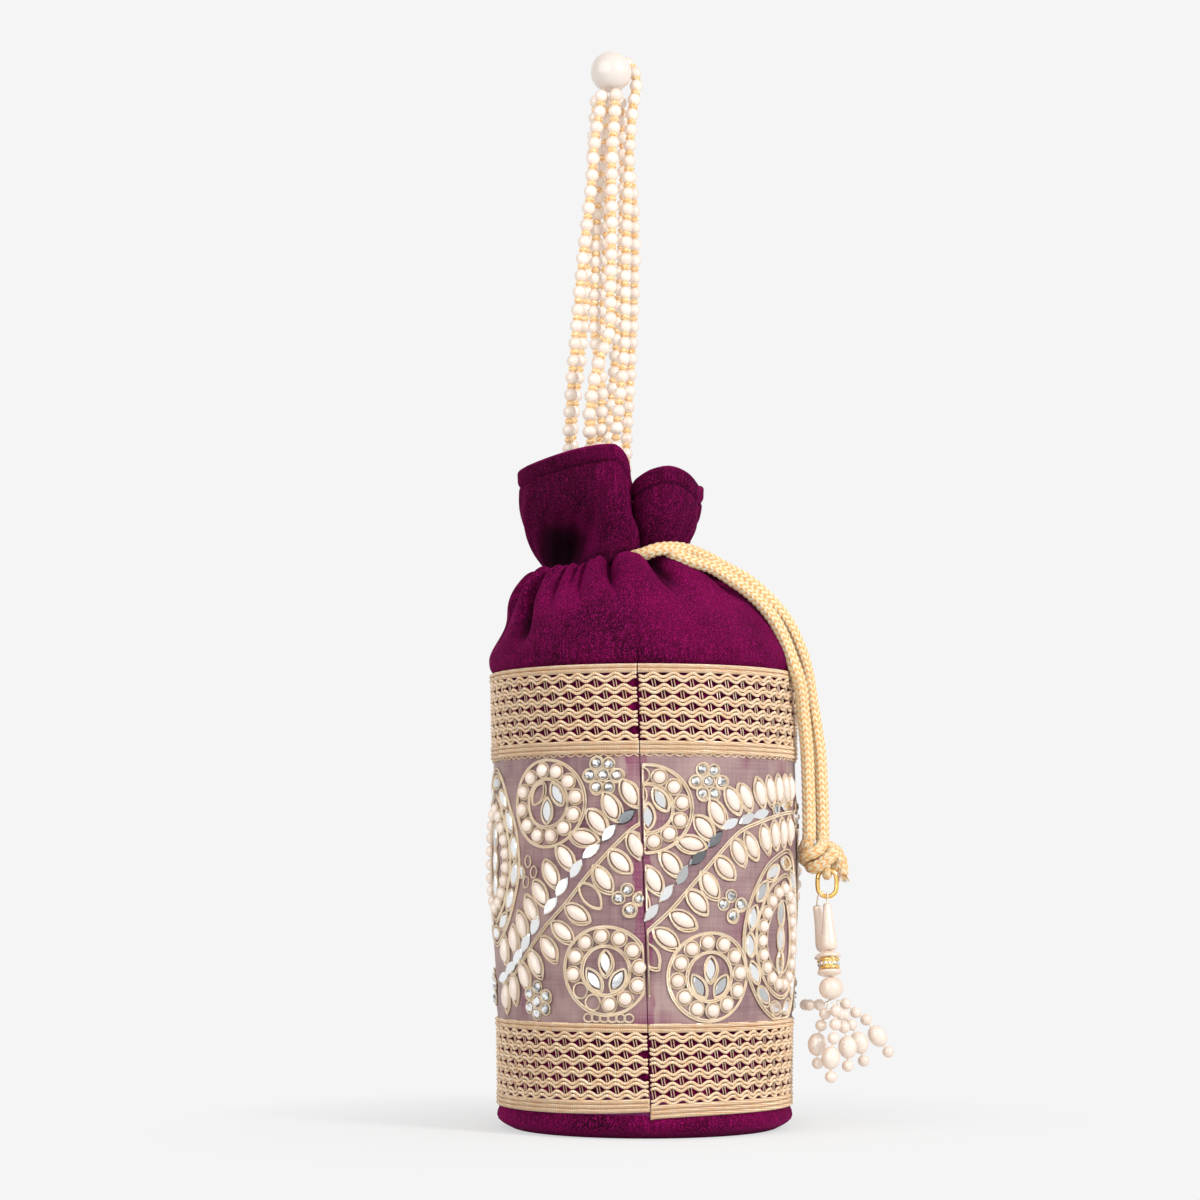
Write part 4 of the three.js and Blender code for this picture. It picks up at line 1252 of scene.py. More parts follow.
class Pattern:
    """The stones (x, height, turn, size, shade) and thread loops of one repeat."""

    def __init__(self, reflections, seed):
        self.rng = np.random.default_rng(seed)
        self.stones = {kind: [] for kind in STONE_SIZES}
        self.loops = {}
        self.branch(reflections)
        self.medallion(0.4, 105.5, 10, True)
        self.medallion(20.8, 52.6, 6, False)
        self.flower(20.2, 114.2, 0)
        self.flower(-5.1, 42.6, 25)
        self.flower(80, 46, 10)
        self.chaton_group([(28.2, 78.2), (25.5, 75.5), (31.7, 75.1), (28.6, 72)])
        self.chaton_group([(69, 107.2), (66.4, 104), (71.6, 104.2), (69.2, 100.8)])
        self.four_petals(-8.4, 83.6)
        self.paisley(NEAR_PAISLEY, (52.3, 64.5))
        self.paisley(FAR_PAISLEY, (-30.5, 87.5))

    def stone(self, kind, x, height, turn=0.0, size=1.0, shade=None):
        """One stone, with a shade drawn at random where none is given. On a mirror the shade is a
        painted reflection.
        """
        shade = self.rng.choice([1, 1, 0.95, 0.9, 0.6]) if shade is None else shade
        self.stones[kind].append((x, height, turn, size, shade))

    def loop(self, points, count):
        """A closed thread, kept with the others that have as many points."""
        self.loops.setdefault(count, []).append(points)

    def wavy(self, points, amount):
        """A loop moved out and in a little by two slow waves round it."""
        t = steps_round(len(points))
        a, b = self.rng.random(2) * TURN
        middle = points.mean(0)
        wave = amount * (np.sin(2 * t + a) + np.sin(3 * t + b)) / 2
        return middle + (points - middle) * (1 + wave[:, None])

    def outlined(self, kind, x, height, turn, half, wide, shade=None, size=1.0):
        """A stone inside two uneven loops of thread, the outer one a little aside."""
        self.stone(kind, x, height, turn, size, shade)
        shape = pointed_oval(half, wide, 0.5, 20)
        aside = self.rng.normal(0, 0.25, 2) + (0.25, -0.2)
        place_at = np.array([x, height])
        self.loop(self.wavy(turned_by(shape, turn), 0.04) + place_at, 20)
        self.loop(self.wavy(turned_by(shape * 1.09, turn), 0.07) + place_at + aside, 20)

    def circle(self, x, height, radius, count, amount=0.03):
        """A slightly uneven round thread."""
        ring = radius * circle_points(steps_round(count))
        self.loop(self.wavy(ring, amount) + (x, height), count)

    def branch(self, reflections):
        """Two rows of oval pearls with a row of mirrors between them, and one chaton."""
        for x, height, turn in [*UPPER_LEAVES, *LOWER_LEAVES]:
            self.outlined("oval", x, height, turn, *LEAF_LOOP)
        for (x, height, turn), shade in zip(BRANCH_MIRRORS, reflections):
            self.stone("mirror", x, height, turn, 1.0, shade)
        self.stone("chaton", 49, 105.9)
        self.circle(49, 105.9, 2.1, LOOP_CORNERS)

    def medallion(self, x, height, phase, flipped):
        """Twelve pearls between rings of thread, round a sprig of three mirrors."""
        for k in range(MEDALLION_PEARLS):
            a = math.radians(phase + 360 // MEDALLION_PEARLS * k)
            reach = MEDALLION_REACH + self.rng.normal(0, 0.2)
            px, pz = x + reach * math.cos(a), height + reach * math.sin(a)
            self.stone("round", px, pz)
            self.circle(px, pz, 2.5, LOOP_CORNERS)
        for radius in MEDALLION_RINGS:
            self.circle(x, height, radius, 60, 0.012)
        side = -1 if flipped else 1
        for dx, dz, turn in ((0, 2.6, 90), (-3.9, -2.9, 122), (3.9, -2.9, 58)):
            self.outlined("mirror", x + dx, height + side * dz, side * turn, 4.0, 2.2, None, 0.92)

    def flower(self, x, height, phase):
        """Six chatons round a seventh."""
        petals = FLOWER_RADIUS * circle_points(np.radians(phase + 60 * np.arange(6)))
        self.chaton_group([(x, height), *(petals + (x, height))])

    def chaton_group(self, places):
        """Chatons a little out of place, each in a loop of thread and half of them in two."""
        for x, height in places:
            x, height = self.rng.normal((x, height), 0.18)
            self.stone("chaton", x, height, self.rng.random() * 90)
            self.circle(x, height, CHATON_LOOP, LOOP_CORNERS)
            if self.rng.random() < 0.5:
                self.circle(x + 0.2, height - 0.25, CHATON_LOOP + 0.3, LOOP_CORNERS, 0.08)

    def four_petals(self, x, height):
        """Three empty loops of thread and one small mirror."""
        for dx, dz, turn in ((0.6, 3.4, 90), (3.2, 0, 80), (-0.4, -3.2, 75)):
            petal = turned_by(pointed_oval(1.9, 1.35, 0.1, LOOP_CORNERS), turn)
            self.loop(petal + (x + dx, height + dz), LOOP_CORNERS)
        self.outlined("mirror", x - 2.9, height, 90, 1.9, 1.4, 0.9, 0.45)

    def paisley(self, outline, middle):
        """Rings inside one another: double thread, mirrors, double thread, pearls, thread and a
        core of three long mirrors."""
        middle = np.array(middle)
        outline = np.asarray(outline, float)

        def ring(share, step=None):
            """The outline shrunk to a share, with 90 points or one at each step."""
            line = even(middle + (outline - middle) * share, 0.5, closed=True)
            number = 90 if step is None else int(round(length_of(line) / step))
            return spline(line, np.arange(number) / number)

        for share in PAISLEY_THREADS:
            self.loop(ring(share), 90)
        mirrors = ring(*PAISLEY_MIRRORS)
        slope = np.roll(mirrors, -1, 0) - np.roll(mirrors, 1, 0)
        for (x, height), (dx, dz) in zip(mirrors, slope):
            self.outlined("mirror", x, height, math.degrees(math.atan2(dz, dx)), 3.9, 2.1, None, 0.95)
        for x, height in ring(*PAISLEY_PEARLS):
            self.stone("round", x, height, 0, 0.92)
            self.circle(x, height, 2.3, LOOP_CORNERS)
        for dz in PAISLEY_CORE:
            self.outlined("mirror", middle[0], middle[1] + dz, 90, 4.2, 2.2, None, 1.0)


def inside_panel(side, along, height, margin):
    """Where places lie between the seams with a margin to both."""
    start, end = panel_span(side, height)
    return (along > start + margin) & (along < end - margin)


def small_loops():
    """The row of small loops above the lower lace on the back panel, near the near seam."""
    along = np.arange(*SMALL_LOOPS)
    middles = np.stack([along, 0 * along + PANEL_LOW + SMALL_LOOPS_UP], -1)
    return middles[:, None] + circle_points(steps_round(LOOP_CORNERS)) * SMALL_LOOP


def repeats_on(side):
    """The stones, thread loops and stems of the repeats that fall on a panel. A stone is left
    out where its middle is past the seam."""
    first, drop = PATTERN_START[side]
    stones = {kind: [] for kind in STONE_SIZES}
    loops = {}
    stems = []
    for repeat in (-2, -1, 0, 1, 2):
        pattern = Pattern(BRANCH_REFLECTIONS[side], 7 + repeat)
        shift = np.array([first + repeat * PATTERN_LENGTH, drop])
        lost = np.array(LOST_STONES[side]) if repeat == 0 else np.full((1, 2), 1e6)
        for kind, rows in pattern.stones.items():
            rows = np.array(rows)
            gone = np.linalg.norm(rows[:, None, :2] - lost, axis=-1).min(1) < 1.5
            rows[:, :2] += shift
            kept = inside_panel(side, rows[:, 0], rows[:, 1], STONE_MARGIN) & ~gone
            stones[kind].append(rows[kept])
        for count, lines in pattern.loops.items():
            lines = np.array(lines) + shift
            within = inside_panel(side, lines[..., 0], lines[..., 1], THREAD_MARGIN).mean(1)
            loops.setdefault(count, []).append(lines[within > 0.3])
        stems.append(even(STEM, 0.6) + shift)
    if side == "back":
        loops[LOOP_CORNERS].append(small_loops())
    return stones, loops, np.array(stems)


def lay_stones(side, stones):
    """One mesh for each kind of stone. Mirrors lean a little out of the cloth, and their shade is a
    painted reflection. Each pearl has a tone of its own, and each corner of a chaton a painted
    reflection of its own, so its facets look as if they shine differently."""
    rng = np.random.default_rng(11)
    for kind, rows in stones.items():
        along, height, turn, size, shade = np.concatenate(rows).T
        count = len(along)
        shape = STONE_SHAPES[kind]
        frames = wall_frames(along, turn + rng.normal(0, 2, count))
        lean = rng.normal(0, 0.05 if kind == "mirror" else 0, (count, 3))
        frames = frames + np.cross(lean[:, :, None], frames, axis=1)
        # Painted reflection: a mirror's shade, and below a random one at each chaton corner.
        tone = shade if kind == "mirror" else rng.random(count)
        if kind == "chaton":
            tone = rng.choice([0.1, 0.6, 1, 1], (count, len(shape[0])))
        lift = THREAD_LIFT - STONE_SINK + panel_bulge(height)
        where = on_wall(np.stack([along, height, lift], -1))
        each = size[:, None] * np.array(STONE_SIZES[kind])
        smooth = kind in ("oval", "round")
        piece = copies(f"stones_{kind}_{side}", shape, where, frames, each, tone, smooth)
        place(piece, "bag", "pearl" if smooth else "crystal", PEARL if smooth else MIRROR)


def laid_thread(side, lines, closed, sides):
    """Thread on the cloth. Where a line crosses a seam or a lace band it runs along that."""
    start, end = panel_span(side, lines[..., 1])
    along = np.clip(lines[..., 0], start + THREAD_END, end - THREAD_END)
    height = np.clip(lines[..., 1], PANEL_LOW + 0.3, PANEL_HIGH - 0.3)
    places = np.stack([along, height, THREAD_LIFT + panel_bulge(height)], -1)
    return tubes("thread", on_wall(places), THREAD, sides, outward_at(places), closed)


def lay_threads(side, loops, stems):
    """All loops, and two threads along each stem."""
    pieces = []
    for count, lines in loops.items():
        pieces.append(laid_thread(side, np.concatenate(lines), True, 4 if count < 20 else 5))
    slope = unit(np.gradient(stems, axis=1))
    across = np.stack([-slope[..., 1], slope[..., 0]], -1)
    lines = np.concatenate([stems + across * d for d in (-1.2, -1.9)])
    within = inside_panel(side, lines[..., 0], lines[..., 1], THREAD_MARGIN).mean(1)
    pieces.append(laid_thread(side, lines[within > 0.1], False, 5))
    threads = merged_pieces(f"embroidery_thread_{side}", pieces)
    place(threads, "bag", "gold_cord", ZARI)


for panel_side in SIDES:
    panel_stones, panel_loops, panel_stems = repeats_on(panel_side)
    lay_stones(panel_side, panel_stones)
    lay_threads(panel_side, panel_loops, panel_stems)


# Drawcord: a loop in the channel, two tails over the shoulder and the knot
OUTER_TAIL = [
    [-6.3, -21.2, 0], [-4, -22.8, 0.1], [0, -25.8, 0.8], [5, -27, 2.3], [12, -24.2, 2.7],
    [19, -21, 0.9], [27, -19, -3.2], [35, -18.5, -7.8], [42.3, -17, -14.4], [47.6, -15, -21],
    [51.2, -13.5, -28.5], [53.7, -12, -36], [55.4, -10.5, -46], [57, -9.5, -56], [58.2, -9, -66],
    [58.9, -8.3, -84], [58.9, -8, -92.4],
]
INNER_TAIL = [
    [6.6, -14.3, 1.2], [6, -16.8, 1.6], [6.8, -20.6, 1.4], [9.8, -25.3, 0.8], [15.5, -26.4, -1.5],
    [22.5, -25.3, -3.6], [30, -23.6, -8.2], [34, -22.4, -11], [37.5, -21.6, -14], [40.7, -21.2, -17.6],
    [43.4, -21.2, -21.6], [46, -21, -27], [49, -21, -35], [51.3, -18.9, -42], [52.4, -15.6, -51],
    [53.7, -13, -64], [54.2, -11.6, -79], [54.3, -11, -92.5],
]
RING_X = 60.3
RING_Y = -8
RING_BOTTOM = 75.65
RING_BEND = 3.15
RING_WIRE = 0.76
RING_HEIGHT = 9
RING_ARC = RING_BOTTOM + RING_BEND
RING_LAP = 0.34
RING_START = 165
RING_SWEEP = 384
RING_STEPS = 80
CORD_STEP = 0.34
COLUMN_SIDES = 5
CHANNEL_ARC = (-38, 277)
CHANNEL_DROP = 6
CHANNEL_RISE = 5.5
CHANNEL_STEPS = 60
# The knot's cords, from the top of the ring
KNOT_FIRST = [
    (-1.4, 0, 10.6), (-1.6, -1.5, 8), (-3.4, -4.2, 6), (-6.4, -3.8, 4.8), (-7.4, -0.6, 3.6),
    (-6, 2.4, 2.6), (-2.6, 3, 3.8), (0.6, 1.2, 5.8), (2.2, -2.2, 6.2), (1, -4.8, 4.4),
    (-1.8, -4.6, 2), (-4.4, -3.4, 0.6), (-5.4, -0.4, 1.2), (-4.4, 2, 3.6),
]
KNOT_SECOND = [
    (-6, -3, 10.6), (-6.8, -2.6, 8.2), (-7.4, -0.6, 6.2), (-6, 1.6, 5.6), (-2.6, 1.8, 6.6),
    (0.4, -0.6, 7.2), (3, -1.6, 5.6), (4, -0.8, 3), (3.2, 0.4, 1), (1.4, 1.2, 2.4),
]
KNOT_END = [(1, 1.6, 4.8), (3.6, 1.2, 4.8), (5, 0.4, 3), (5.3, 0.4, 0.4), (5.4, 0.5, -2)]
KNOT_EYE = 2.5
KNOT_CORD = 2.1
EYE_CORD = 1.4
END_CORD = 1.7
FRAY_THREAD = 0.16
FRAY_COUNT = 26


def from_neck(route):
    """Heights in the routes are given from the neck, as in the part."""
    return np.asarray(route, float) + (0, 0, NECK_HEIGHT)


def cord_piece(name, route, reference, radius=CORD_RADIUS):
    """A knitted cord along a route. Its stitches stand out by the pattern that the knit group
    draws, V bent by the distance from the middle of a column of stitches. Each column has five
    sides, moved by half a side so that both halves of a stitch are alike."""
    line = even(route, CORD_STEP)
    sides = KNIT_COLUMNS * COLUMN_SIDES
    column = (np.arange(sides) / COLUMN_SIDES + 0.5 / COLUMN_SIDES) % 1
    middle = np.abs(column - 0.5)
    run = np.arange(len(line))[:, None] * CORD_STEP / KNIT_STITCH
    loop = np.sin(math.pi * ((run + STITCH_SLANT * middle) % 1)) * np.sin(TURN * middle) ** STITCH_EDGE
    return tubes(name, line, radius * (0.9 + 0.17 * loop), sides, reference), line


def frayed_end(root):
    """Curled threads, each from a random place round the root."""
    rng = np.random.default_rng(3)
    lines = []
    for dx, dy in rng.normal(0, 0.55, (FRAY_COUNT, 2)):
        start = root + (0.7 * dx, 0.7 * dy, 0)
        tip = start + (0.9 * dx + 0.3, 0.9 * dy, -2.6 - 0.8 * rng.random())
        curl = np.sin(np.linspace(0, 3, 5))[:, None] * (0.15 * dy, 0.15 * dx, 0)
        lines.append(np.linspace(start, tip, 5) + curl)
    return tubes("knot_fray", np.stack(lines), FRAY_THREAD, 4, (0, 1, 0))


def make_knot():
    """Two fat wraps, the eye round the ring and the cut end beside it, frayed at its tip."""
    knot = np.array([RING_X, RING_Y, RING_BOTTOM + RING_HEIGHT])
    bend = np.linspace(-0.1, TURN * 0.95, 14)
    eye = np.stack([0.5 * np.sin(bend), KNOT_EYE * np.sin(bend), 0.3 + KNOT_EYE * np.cos(bend)], -1)
    cords = [
        cord_piece(name, knot + route, reference, radius)[0] for name, route, reference, radius in (
            ("knot_wrap", KNOT_FIRST, (0.3, 0.2, 1), KNOT_CORD),
            ("knot_wrap", KNOT_SECOND, (0.3, 0.2, 1), KNOT_CORD),
            ("knot_eye", eye, (1, 0, 0), EYE_CORD),
            ("knot_end", KNOT_END, (0, 1, 0), END_CORD),
        )
    ]
    piece = merged_pieces("drawcord_knot_cord", [*cords, frayed_end(knot + (5.4, 0.5, -1.2))])
    place(piece, "bag", "gold_cord", KNIT, "drawcord_knot")
    return piece


def make_drawcord():
    """The loop lies in the channel, tilted as the neck is, and its two ends rise to the opening
    at the near seam. The tails run from there to the knot."""
    angle = np.radians(np.linspace(*CHANNEL_ARC, CHANNEL_STEPS))
    x = CHANNEL_RADIUS * np.cos(angle)
    ends = np.abs(np.linspace(-1, 1, CHANNEL_STEPS)) ** 6
    height = NECK_HEIGHT - CHANNEL_DROP + CHANNEL_RISE * ends + NECK_TILT * x
    loop = np.stack([x + NECK_SHIFT, CHANNEL_RADIUS * np.sin(angle), height], -1)
    channel, _ = cord_piece("drawcord_loop", loop, (0, 0, 1))
    place(channel, "bag", "gold_cord", KNIT, "drawcord_in_channel")

    knot_piece = make_knot()
    outer, line = cord_piece("drawcord_outer_tail", from_neck(OUTER_TAIL), (0, 1, 0))
    place(outer, "bag", "gold_cord", KNIT, "drawcord_tail_outer")
    inner, line = cord_piece("drawcord_inner_tail", from_neck(INNER_TAIL), (0, 1, 0))
    place(inner, "bag", "gold_cord", KNIT, "drawcord_tail_inner")


def make_ring():
    """Oval jump ring whose two ends lap side by side at the left: two half circles, the upper
    one raised by the length of the straight sides."""
    a = np.radians(np.linspace(RING_START, RING_START + RING_SWEEP, RING_STEPS))
    lap = RING_LAP * np.linspace(-1, 1, RING_STEPS) ** 9
    raised = (RING_HEIGHT - 2 * RING_BEND) * smoothstep(-0.5, 0.5, np.sin(a))
    height = RING_ARC + raised + RING_BEND * np.sin(a)
    line = np.stack([RING_X + RING_BEND * np.cos(a), RING_Y + lap, height], -1)
    piece = tubes("gilt_ring", even(line, 0.5), RING_WIRE, 16, (0, 1, 0))
    place(piece, "ring", "gilt_metal", GILT, "tassel_ring")


make_drawcord()
make_ring()


# Tassels: beads threaded on an axis, then short bead strings from its end
GAP = 0.3
SMALL_PEARL = 1.95
TASSEL_THREAD = 0.25
OVAL_DROP = (3.05, 3.05, 3.8)
LOOP_BEND = RING_BEND * math.sqrt(0.5)
TASSELS = {
    "near": {
        "top": (RING_X - 0.2, RING_Y - 1.85, RING_BOTTOM - 2.25),
        "axis": (0.02, -0.165, -0.986),
        "strings": [
            ([(0.2, -0.6, -0.5), (1.5, -1.4, -3.2), (1.2, -2.8, -7.5), (0.5, -3.6, -11.9)],
             (-0.4, -3.7, -18.2), (-0.4, -3.7, -24.3)),
            ([(-0.75, 0.3, -0.3), (-1.8, 2.3, -4.3), (-3, 2.5, -8.1)],
             (-4.4, 2.5, -14.2), (-4.2, 2.5, -20.3)),
            ([(0.75, 0.3, -0.3), (3, 2.5, -4.5), (4.4, 2.5, -8.7)],
             (5.5, 2.5, -15.1), (5.5, 2.5, -21.2)),
        ],
    },
    "far": {
        "top": (RING_X - LOOP_BEND - 1.17, RING_Y + 1.85, RING_ARC - LOOP_BEND - 3.87),
        "axis": (0.19, 0.165, -0.968),
        "strings": [
            ([(0.7, 0.5, -0.1), (3.8, 3, -1.6), (7.2, 3.4, -4.5), (10.6, 3.6, -6.9)],
             (14.4, 3.8, -12.3), (17.9, 3.9, -17.5)),
            ([(0.4, -0.7, -0.3), (2.9, -1.1, -5.1), (5.3, -1.1, -8.3)],
             (7.9, -1.1, -14.2), (9.3, -1.1, -20.1)),
            ([(-0.8, 0.4, 0), (-4.9, 2.6, -1.9), (-8.1, 3, -2)], None, (-9.3, 6.2, -2.1)),
        ],
    },
}
BORE = 0.6
BEAD_SIDES = 32
DROP_LENGTH = 15.5
CAP_LENGTH = 2
SPACER_LENGTH = 3.5
ROUND_BEAD = 3.75
DROP = [(0.6, 0), (1.1, 0.05), (1.35, 0.5), (1.5, 2.5), (1.85, 6), (2.35, 9.6), (2.75, 12),
        (2.9, 13.4), (2.72, 14.6), (2.1, 15.3), (1.2, 15.5), (0.6, 15.5), (0.6, 0)]
CAP = [(0.6, 0), (1.5, 0.02), (2.3, 0.15), (3.3, 0.6), (3.95, 1.15), (4.05, 1.5), (3.8, 1.85),
       (3.3, 2), (0.6, 2), (0.6, 0)]
LOWER_CAP = [(r, CAP_LENGTH - s) for r, s in reversed(CAP)]
SPACER = [(0.6, 0), (3, 0), (3.4, 0.2), (3.4, 0.75), (2.9, 0.9), (2.9, 2.6), (3.4, 2.75),
          (3.4, 3.3), (3, 3.5), (0.6, 3.5), (0.6, 0)]
SPACER_SIDES = 36
SPACER_STONES = 12
SPACER_STONE = 0.72
SPACER_STONE_RADIUS = 2.85


def round_pearl_profile(radius, bore, steps=14):
    """Half circle from one rim of the bore to the other, closed through the bore."""
    a = np.linspace(math.asin(bore / radius) + 0.05, math.pi - math.asin(bore / radius) - 0.05, steps)
    arc = np.stack([radius * np.sin(a), radius * (1 - np.cos(a))], -1)
    ends = [(bore, arc[0, 1] + 0.25)]
    return np.concatenate([ends, arc, [(bore, arc[-1, 1] - 0.25)], ends])


def tassel_string(name, origin, points, oval, end):
    """Small pearls on a thread, one oval pearl and a last small one."""
    stops = [np.add(origin, p) for p in [*points, *([oval] if oval else []), end]]
    thread = coated(tubes("thread", even(stops, 0.7), TASSEL_THREAD, 6, (0.3, 1, 0)), NYLON)
    small = [np.add(origin, p) for p in [*points[1:], end]]
    frames = np.repeat(np.eye(3)[None], len(small), 0)
    rng = np.random.default_rng(len(name))
    sizes = np.full((len(small), 1), SMALL_PEARL)
    beads = copies("beads", ball_shape(16, 12), small, frames, sizes, rng.random(len(small)))
    parts = [coated(beads, PEARL), thread]
    if oval:
        down = unit(np.subtract(end, points[-1]))
        turn = np.stack([*square_to(down), down], -1)[None]
        egg = copies("oval", ball_shape(24, 16), [np.add(origin, oval)], turn, [OVAL_DROP], [0.6])
        parts.append(coated(egg, PEARL))
    return merged_pieces(name, parts)


def rhinestone_spacer(name, top, axis):
    """A short gilt drum whose waist is set with a row of clear stones."""
    drum = coated(turned("drum", SPACER, top, axis, SPACER_SIDES), GILT)
    down = unit(np.asarray(axis, float))
    out = spokes(down, SPACER_STONES)
    below = np.broadcast_to(down, out.shape)
    frames = np.stack([np.cross(below, out), below, out], -1)
    places = np.asarray(top) + SPACER_LENGTH / 2 * down + SPACER_STONE_RADIUS * out
    sizes = np.full((SPACER_STONES, 1), SPACER_STONE)
    stones = copies("stones", stone_shape(8), places, frames, sizes, np.ones(SPACER_STONES), smooth=False)
    return merged_pieces(name, [drum, coated(stones, CRYSTAL)])


def make_tassel(name, spec):
    """Each bead starts where the one above ends, with a little play, and rides on its own
    body. The bead strings ride with the thread."""
    axis = unit(np.asarray(spec["axis"]))
    start = np.asarray(spec["top"])
    for part, length, profile in (
        ("drop_bead", DROP_LENGTH, DROP),
        ("upper_cap", CAP_LENGTH, CAP),
        ("crystal_spacer", SPACER_LENGTH, None),
        ("lower_cap", CAP_LENGTH, LOWER_CAP),
        ("round_pearl", 2 * ROUND_BEAD, round_pearl_profile(ROUND_BEAD, BORE)),
    ):
        node = f"{name}_{part}"
        if profile is None:
            settle(rhinestone_spacer(f"{node}_piece", start, axis), f"{node}_body", "crystal", node)
        else:
            piece = turned(f"{node}_piece", profile, start, axis, BEAD_SIDES)
            place(piece, f"{node}_body", "pearl", PEARL, node)
        start = start + (length + GAP) * axis
    for i, (points, oval, end) in enumerate(spec["strings"], 1):
        node = f"{name}_bead_string_{i}"
        settle(tassel_string(f"{node}_piece", start, points, oval, end), f"{name}_tassel", "pearl", node)
    coated(nodes[f"{name}_tassel_thread"], NYLON)


for tassel_name, tassel_spec in TASSELS.items():
    make_tassel(tassel_name, tassel_spec)


# Handle: pearls and seed beads on eight legs
HANDLE = {
    "handle_string_1_near": [
        [-23.6, -14.8, 11], [-24.6, -15.6, 27], [-24.8, -16.4, 41], [-24.4, -16.4, 51.6],
        [-22.6, -15, 75.9], [-20.3, -12.8, 102.4], [-17.6, -10, 127.8], [-16.6, -7.8, 142.6],
        [-14.8, -5.2, 155.3], [-14, -3.9, 163.3],
    ],
    "handle_string_2_near": [
        [-17.9, -18.4, 11], [-16.8, -19.4, 27], [-14.2, -18.8, 43.1], [-14.2, -18.4, 60],
        [-16.4, -14.4, 79.1], [-16, -10.8, 98.1], [-15.7, -6.6, 118.2], [-14.6, -3.6, 134.1],
        [-12.4, -1.2, 148.9], [-11, 0, 162.4],
    ],
    "handle_string_3_near": [
        [-12.6, -19.4, 11], [-15, -23.6, 27], [-18, -24, 44.2], [-15.6, -23.4, 62.2],
        [-11.4, -19.4, 75.9], [-11.1, -15.4, 91.8], [-10.6, -12, 110.8], [-10.6, -8.8, 136.2],
        [-9.8, -6, 151.1], [-9.2, -4.5, 163.3],
    ],
    "handle_string_4_near": [
        [-7.2, -19.2, 11], [-9, -21.4, 27], [-9.2, -20.8, 41], [-7.2, -18, 61.1],
        [-6.4, -15, 75.9], [-6.2, -11.6, 98.1], [-5.6, -8.4, 118.2], [-5, -4.6, 136.2],
        [-3.8, -0.4, 155.3], [-2.4, 4.6, 168], [-4.6, 8.4, 175], [-8.4, 10.2, 176.4],
    ],
    "handle_string_1_far": [
        [-23.6, 14.8, 11], [-24.6, 15.6, 27], [-24.4, 16.6, 51.6], [-21.6, 16, 75.9],
        [-18.6, 13.2, 104.5], [-17, 8.6, 127.8], [-17, 4.4, 146.8], [-15.8, 0.6, 163.2],
    ],
    "handle_string_2_far": [
        [-17.9, 18.4, 11], [-18.4, 20.6, 27], [-18, 22, 51.6], [-15, 20, 79.1],
        [-13.4, 16.6, 104.5], [-12.4, 12, 127.8], [-12, 7.8, 146.8], [-12.6, 4.5, 163.3],
    ],
    "handle_string_3_far": [
        [-12.6, 19.4, 11], [-12.4, 23.6, 27], [-12, 26, 51.6], [-9.6, 24.8, 79.1],
        [-8, 20, 104.5], [-7, 14.6, 127.8], [-6.9, 8.6, 146.8], [-8, 3.7, 163.3],
    ],
    "handle_string_4_far": [
        [-7.2, 19.2, 11], [-6.6, 23, 27], [-5.8, 27, 51.6], [-4.2, 29, 79.1],
        [-3.2, 25.4, 104.5], [-3.4, 20.4, 127.8], [-6, 15, 151.1], [-9.6, 11.6, 166.9],
        [-11.6, 10.6, 173.9],
    ],
}


def pearl_string(node, route, seed):
    """Round pearls about a pitch apart along the route, each a little out of step, a seed bead
    between each two, and the thread. Near the mouth the legs are drawn together."""
    line = even(from_neck(route), 0.5)
    inside = 1 - smoothstep(NECK_HEIGHT + 22, NECK_HEIGHT + 50, line[:, 2])
    line[:, 1] *= 1 - LEGS_CLOSER * inside
    total = length_of(line)
    count = round(total / STRING_PITCH)
    pitch = total / count
    tangent = unit(np.gradient(line, axis=0))
    run = np.linspace(0, total, len(line))

    def at(distance, values):
        return np.stack([np.interp(distance, run, values[:, k]) for k in range(3)], -1)

    rng = np.random.default_rng(seed)
    pearl_at = (np.arange(count) + 0.5) * pitch + rng.normal(0, 0.12, count)
    seed_at = np.arange(1, count) * pitch
    parts = []
    for where, size, shape, material in (
        (pearl_at, STRING_PEARL, ball_shape(14, 9), PEARL),
        (seed_at, SEED_BEAD, ball_shape(8, 5), SEED),
    ):
        down = unit(at(where, tangent))
        frames = np.stack([*square_to(down, STRING_SIDE), down], -1)
        sizes = np.atleast_1d(size) * (1 + rng.normal(0, 0.015, (len(where), 1)))
        tone = rng.random(len(where))
        beads = copies("beads", shape, at(where, line), frames, sizes, tone, smooth=material is PEARL)
        parts.append(coated(beads, material))
    parts.append(coated(tubes("thread", line, STRING_THREAD, 5, STRING_SIDE), NYLON))
    piece = merged_pieces(f"{node}_beads", parts)
    settle(piece, "bag", "pearl", node)


def make_big_pearl():
    """A ball turned about its upright bore."""
    top = from_neck(BIG_PEARL_PLACE) + (0, 0, BIG_PEARL)
    profile = round_pearl_profile(BIG_PEARL, BIG_PEARL_BORE, 28)
    piece = turned("handle_pearl_piece", profile, top, (0, 0, -1), BIG_PEARL_SIDES)
    place(piece, "bag", "pearl", LARGE_PEARL, "handle_pearl")


for number, (handle_node, handle_route) in enumerate(HANDLE.items()):
    pearl_string(handle_node, handle_route, number)
make_big_pearl()


# Floor, backdrop and lights
GROUND = colour(245, 245, 245)
FLOOR = [(-4000, -4000, 0), (4000, -4000, 0), (4000, 6000, 0), (-4000, 6000, 0)]


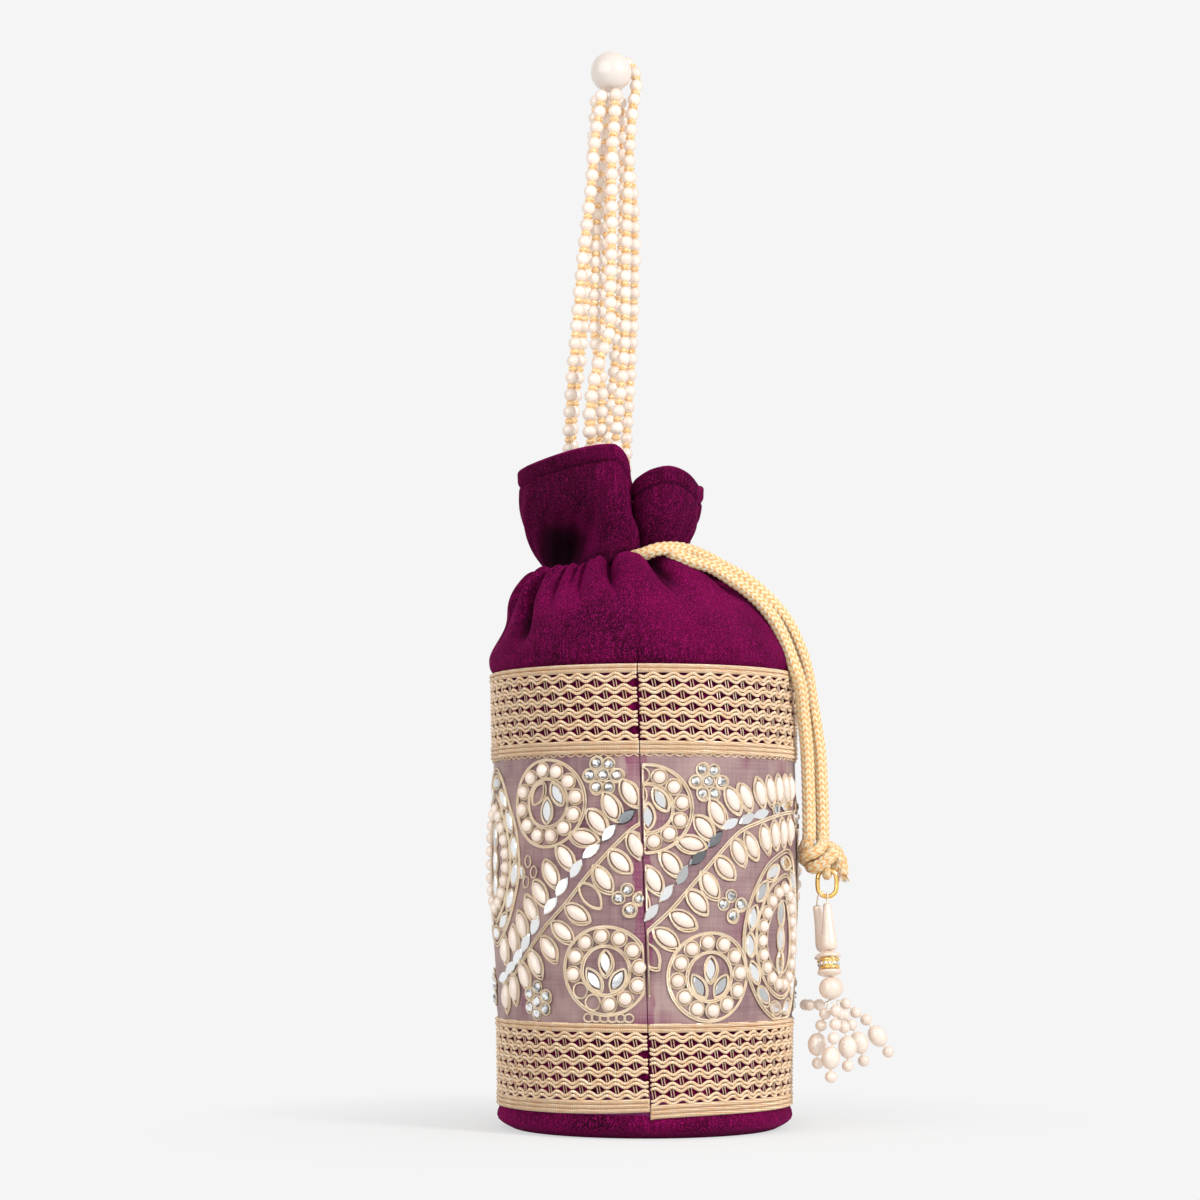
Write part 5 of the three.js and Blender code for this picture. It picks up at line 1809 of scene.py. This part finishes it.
def make_floor():
    """Matt under and near the bag, to hold its shadow. Past that it glows more and more with
    the background's own colour, by the distance from the middle in metres."""
    floor = new_piece("floor", FLOOR, [(0, 1, 2, 3)], smooth=False)
    material = bpy.data.materials.new("pale_floor")
    material.use_nodes = True
    n = Nodes(material.node_tree)
    material.node_tree.nodes.remove(material.node_tree.nodes["Principled BSDF"])
    out = material.node_tree.nodes["Material Output"]
    diffuse = n.add("ShaderNodeBsdfDiffuse", inputs={"Color": colour(228, 228, 228)})
    glow = n.add("ShaderNodeEmission", inputs={"Color": GROUND, "Strength": 1.0})
    place_on_floor = n.add("ShaderNodeTexCoord").outputs["Object"]
    distance = n.add("ShaderNodeVectorMath", operation="LENGTH", inputs={0: place_on_floor})
    away = n.between(distance.outputs["Value"], 0.05, 0.17, 0.6, 1.0)
    factor = n.maths("MULTIPLY", away, n.sees_background())
    mixed = n.add("ShaderNodeMixShader", inputs={0: factor, 1: diffuse.outputs[0], 2: glow.outputs[0]})
    n.feed(out.inputs["Surface"], mixed.outputs[0])
    floor.data.materials.append(material)


def make_world():
    """The background at strength 1 where it is seen, and weaker as light on the bag."""
    world = bpy.data.worlds.new("studio")
    bpy.context.scene.world = world
    world.use_nodes = True
    n = Nodes(world.node_tree)
    back = world.node_tree.nodes["Background"].inputs
    n.feed(back["Color"], GROUND)
    n.feed(back["Strength"], n.maths("MULTIPLY_ADD", n.sees_background(), 1 - WORLD_LIGHT, WORLD_LIGHT))


def area_light(name, location, target, size, watts):
    """A round lamp at a place in metres, turned to face its target."""
    data = bpy.data.lights.new(name, "AREA")
    data.shape = "DISK"
    data.size = size
    data.energy = watts
    light = bpy.data.objects.new(name, data)
    light.location = location
    aim = np.subtract(target, location)
    yaw = math.atan2(aim[1], aim[0]) - math.pi / 2
    tilt = math.atan2(aim[2], math.hypot(aim[0], aim[1]))
    light.rotation_euler = (math.pi / 2 + tilt, 0, yaw)
    bpy.context.scene.collection.objects.link(light)


make_floor()
make_world()
area_light("key", (0.95, -0.8, 0.75), (0, 0, 0.13), 0.34, 16)
area_light("fill", (-0.8, -1.0, 0.5), (0, 0, 0.12), 1.8, 12)
bpy.context.scene.view_settings.view_transform = "Standard"
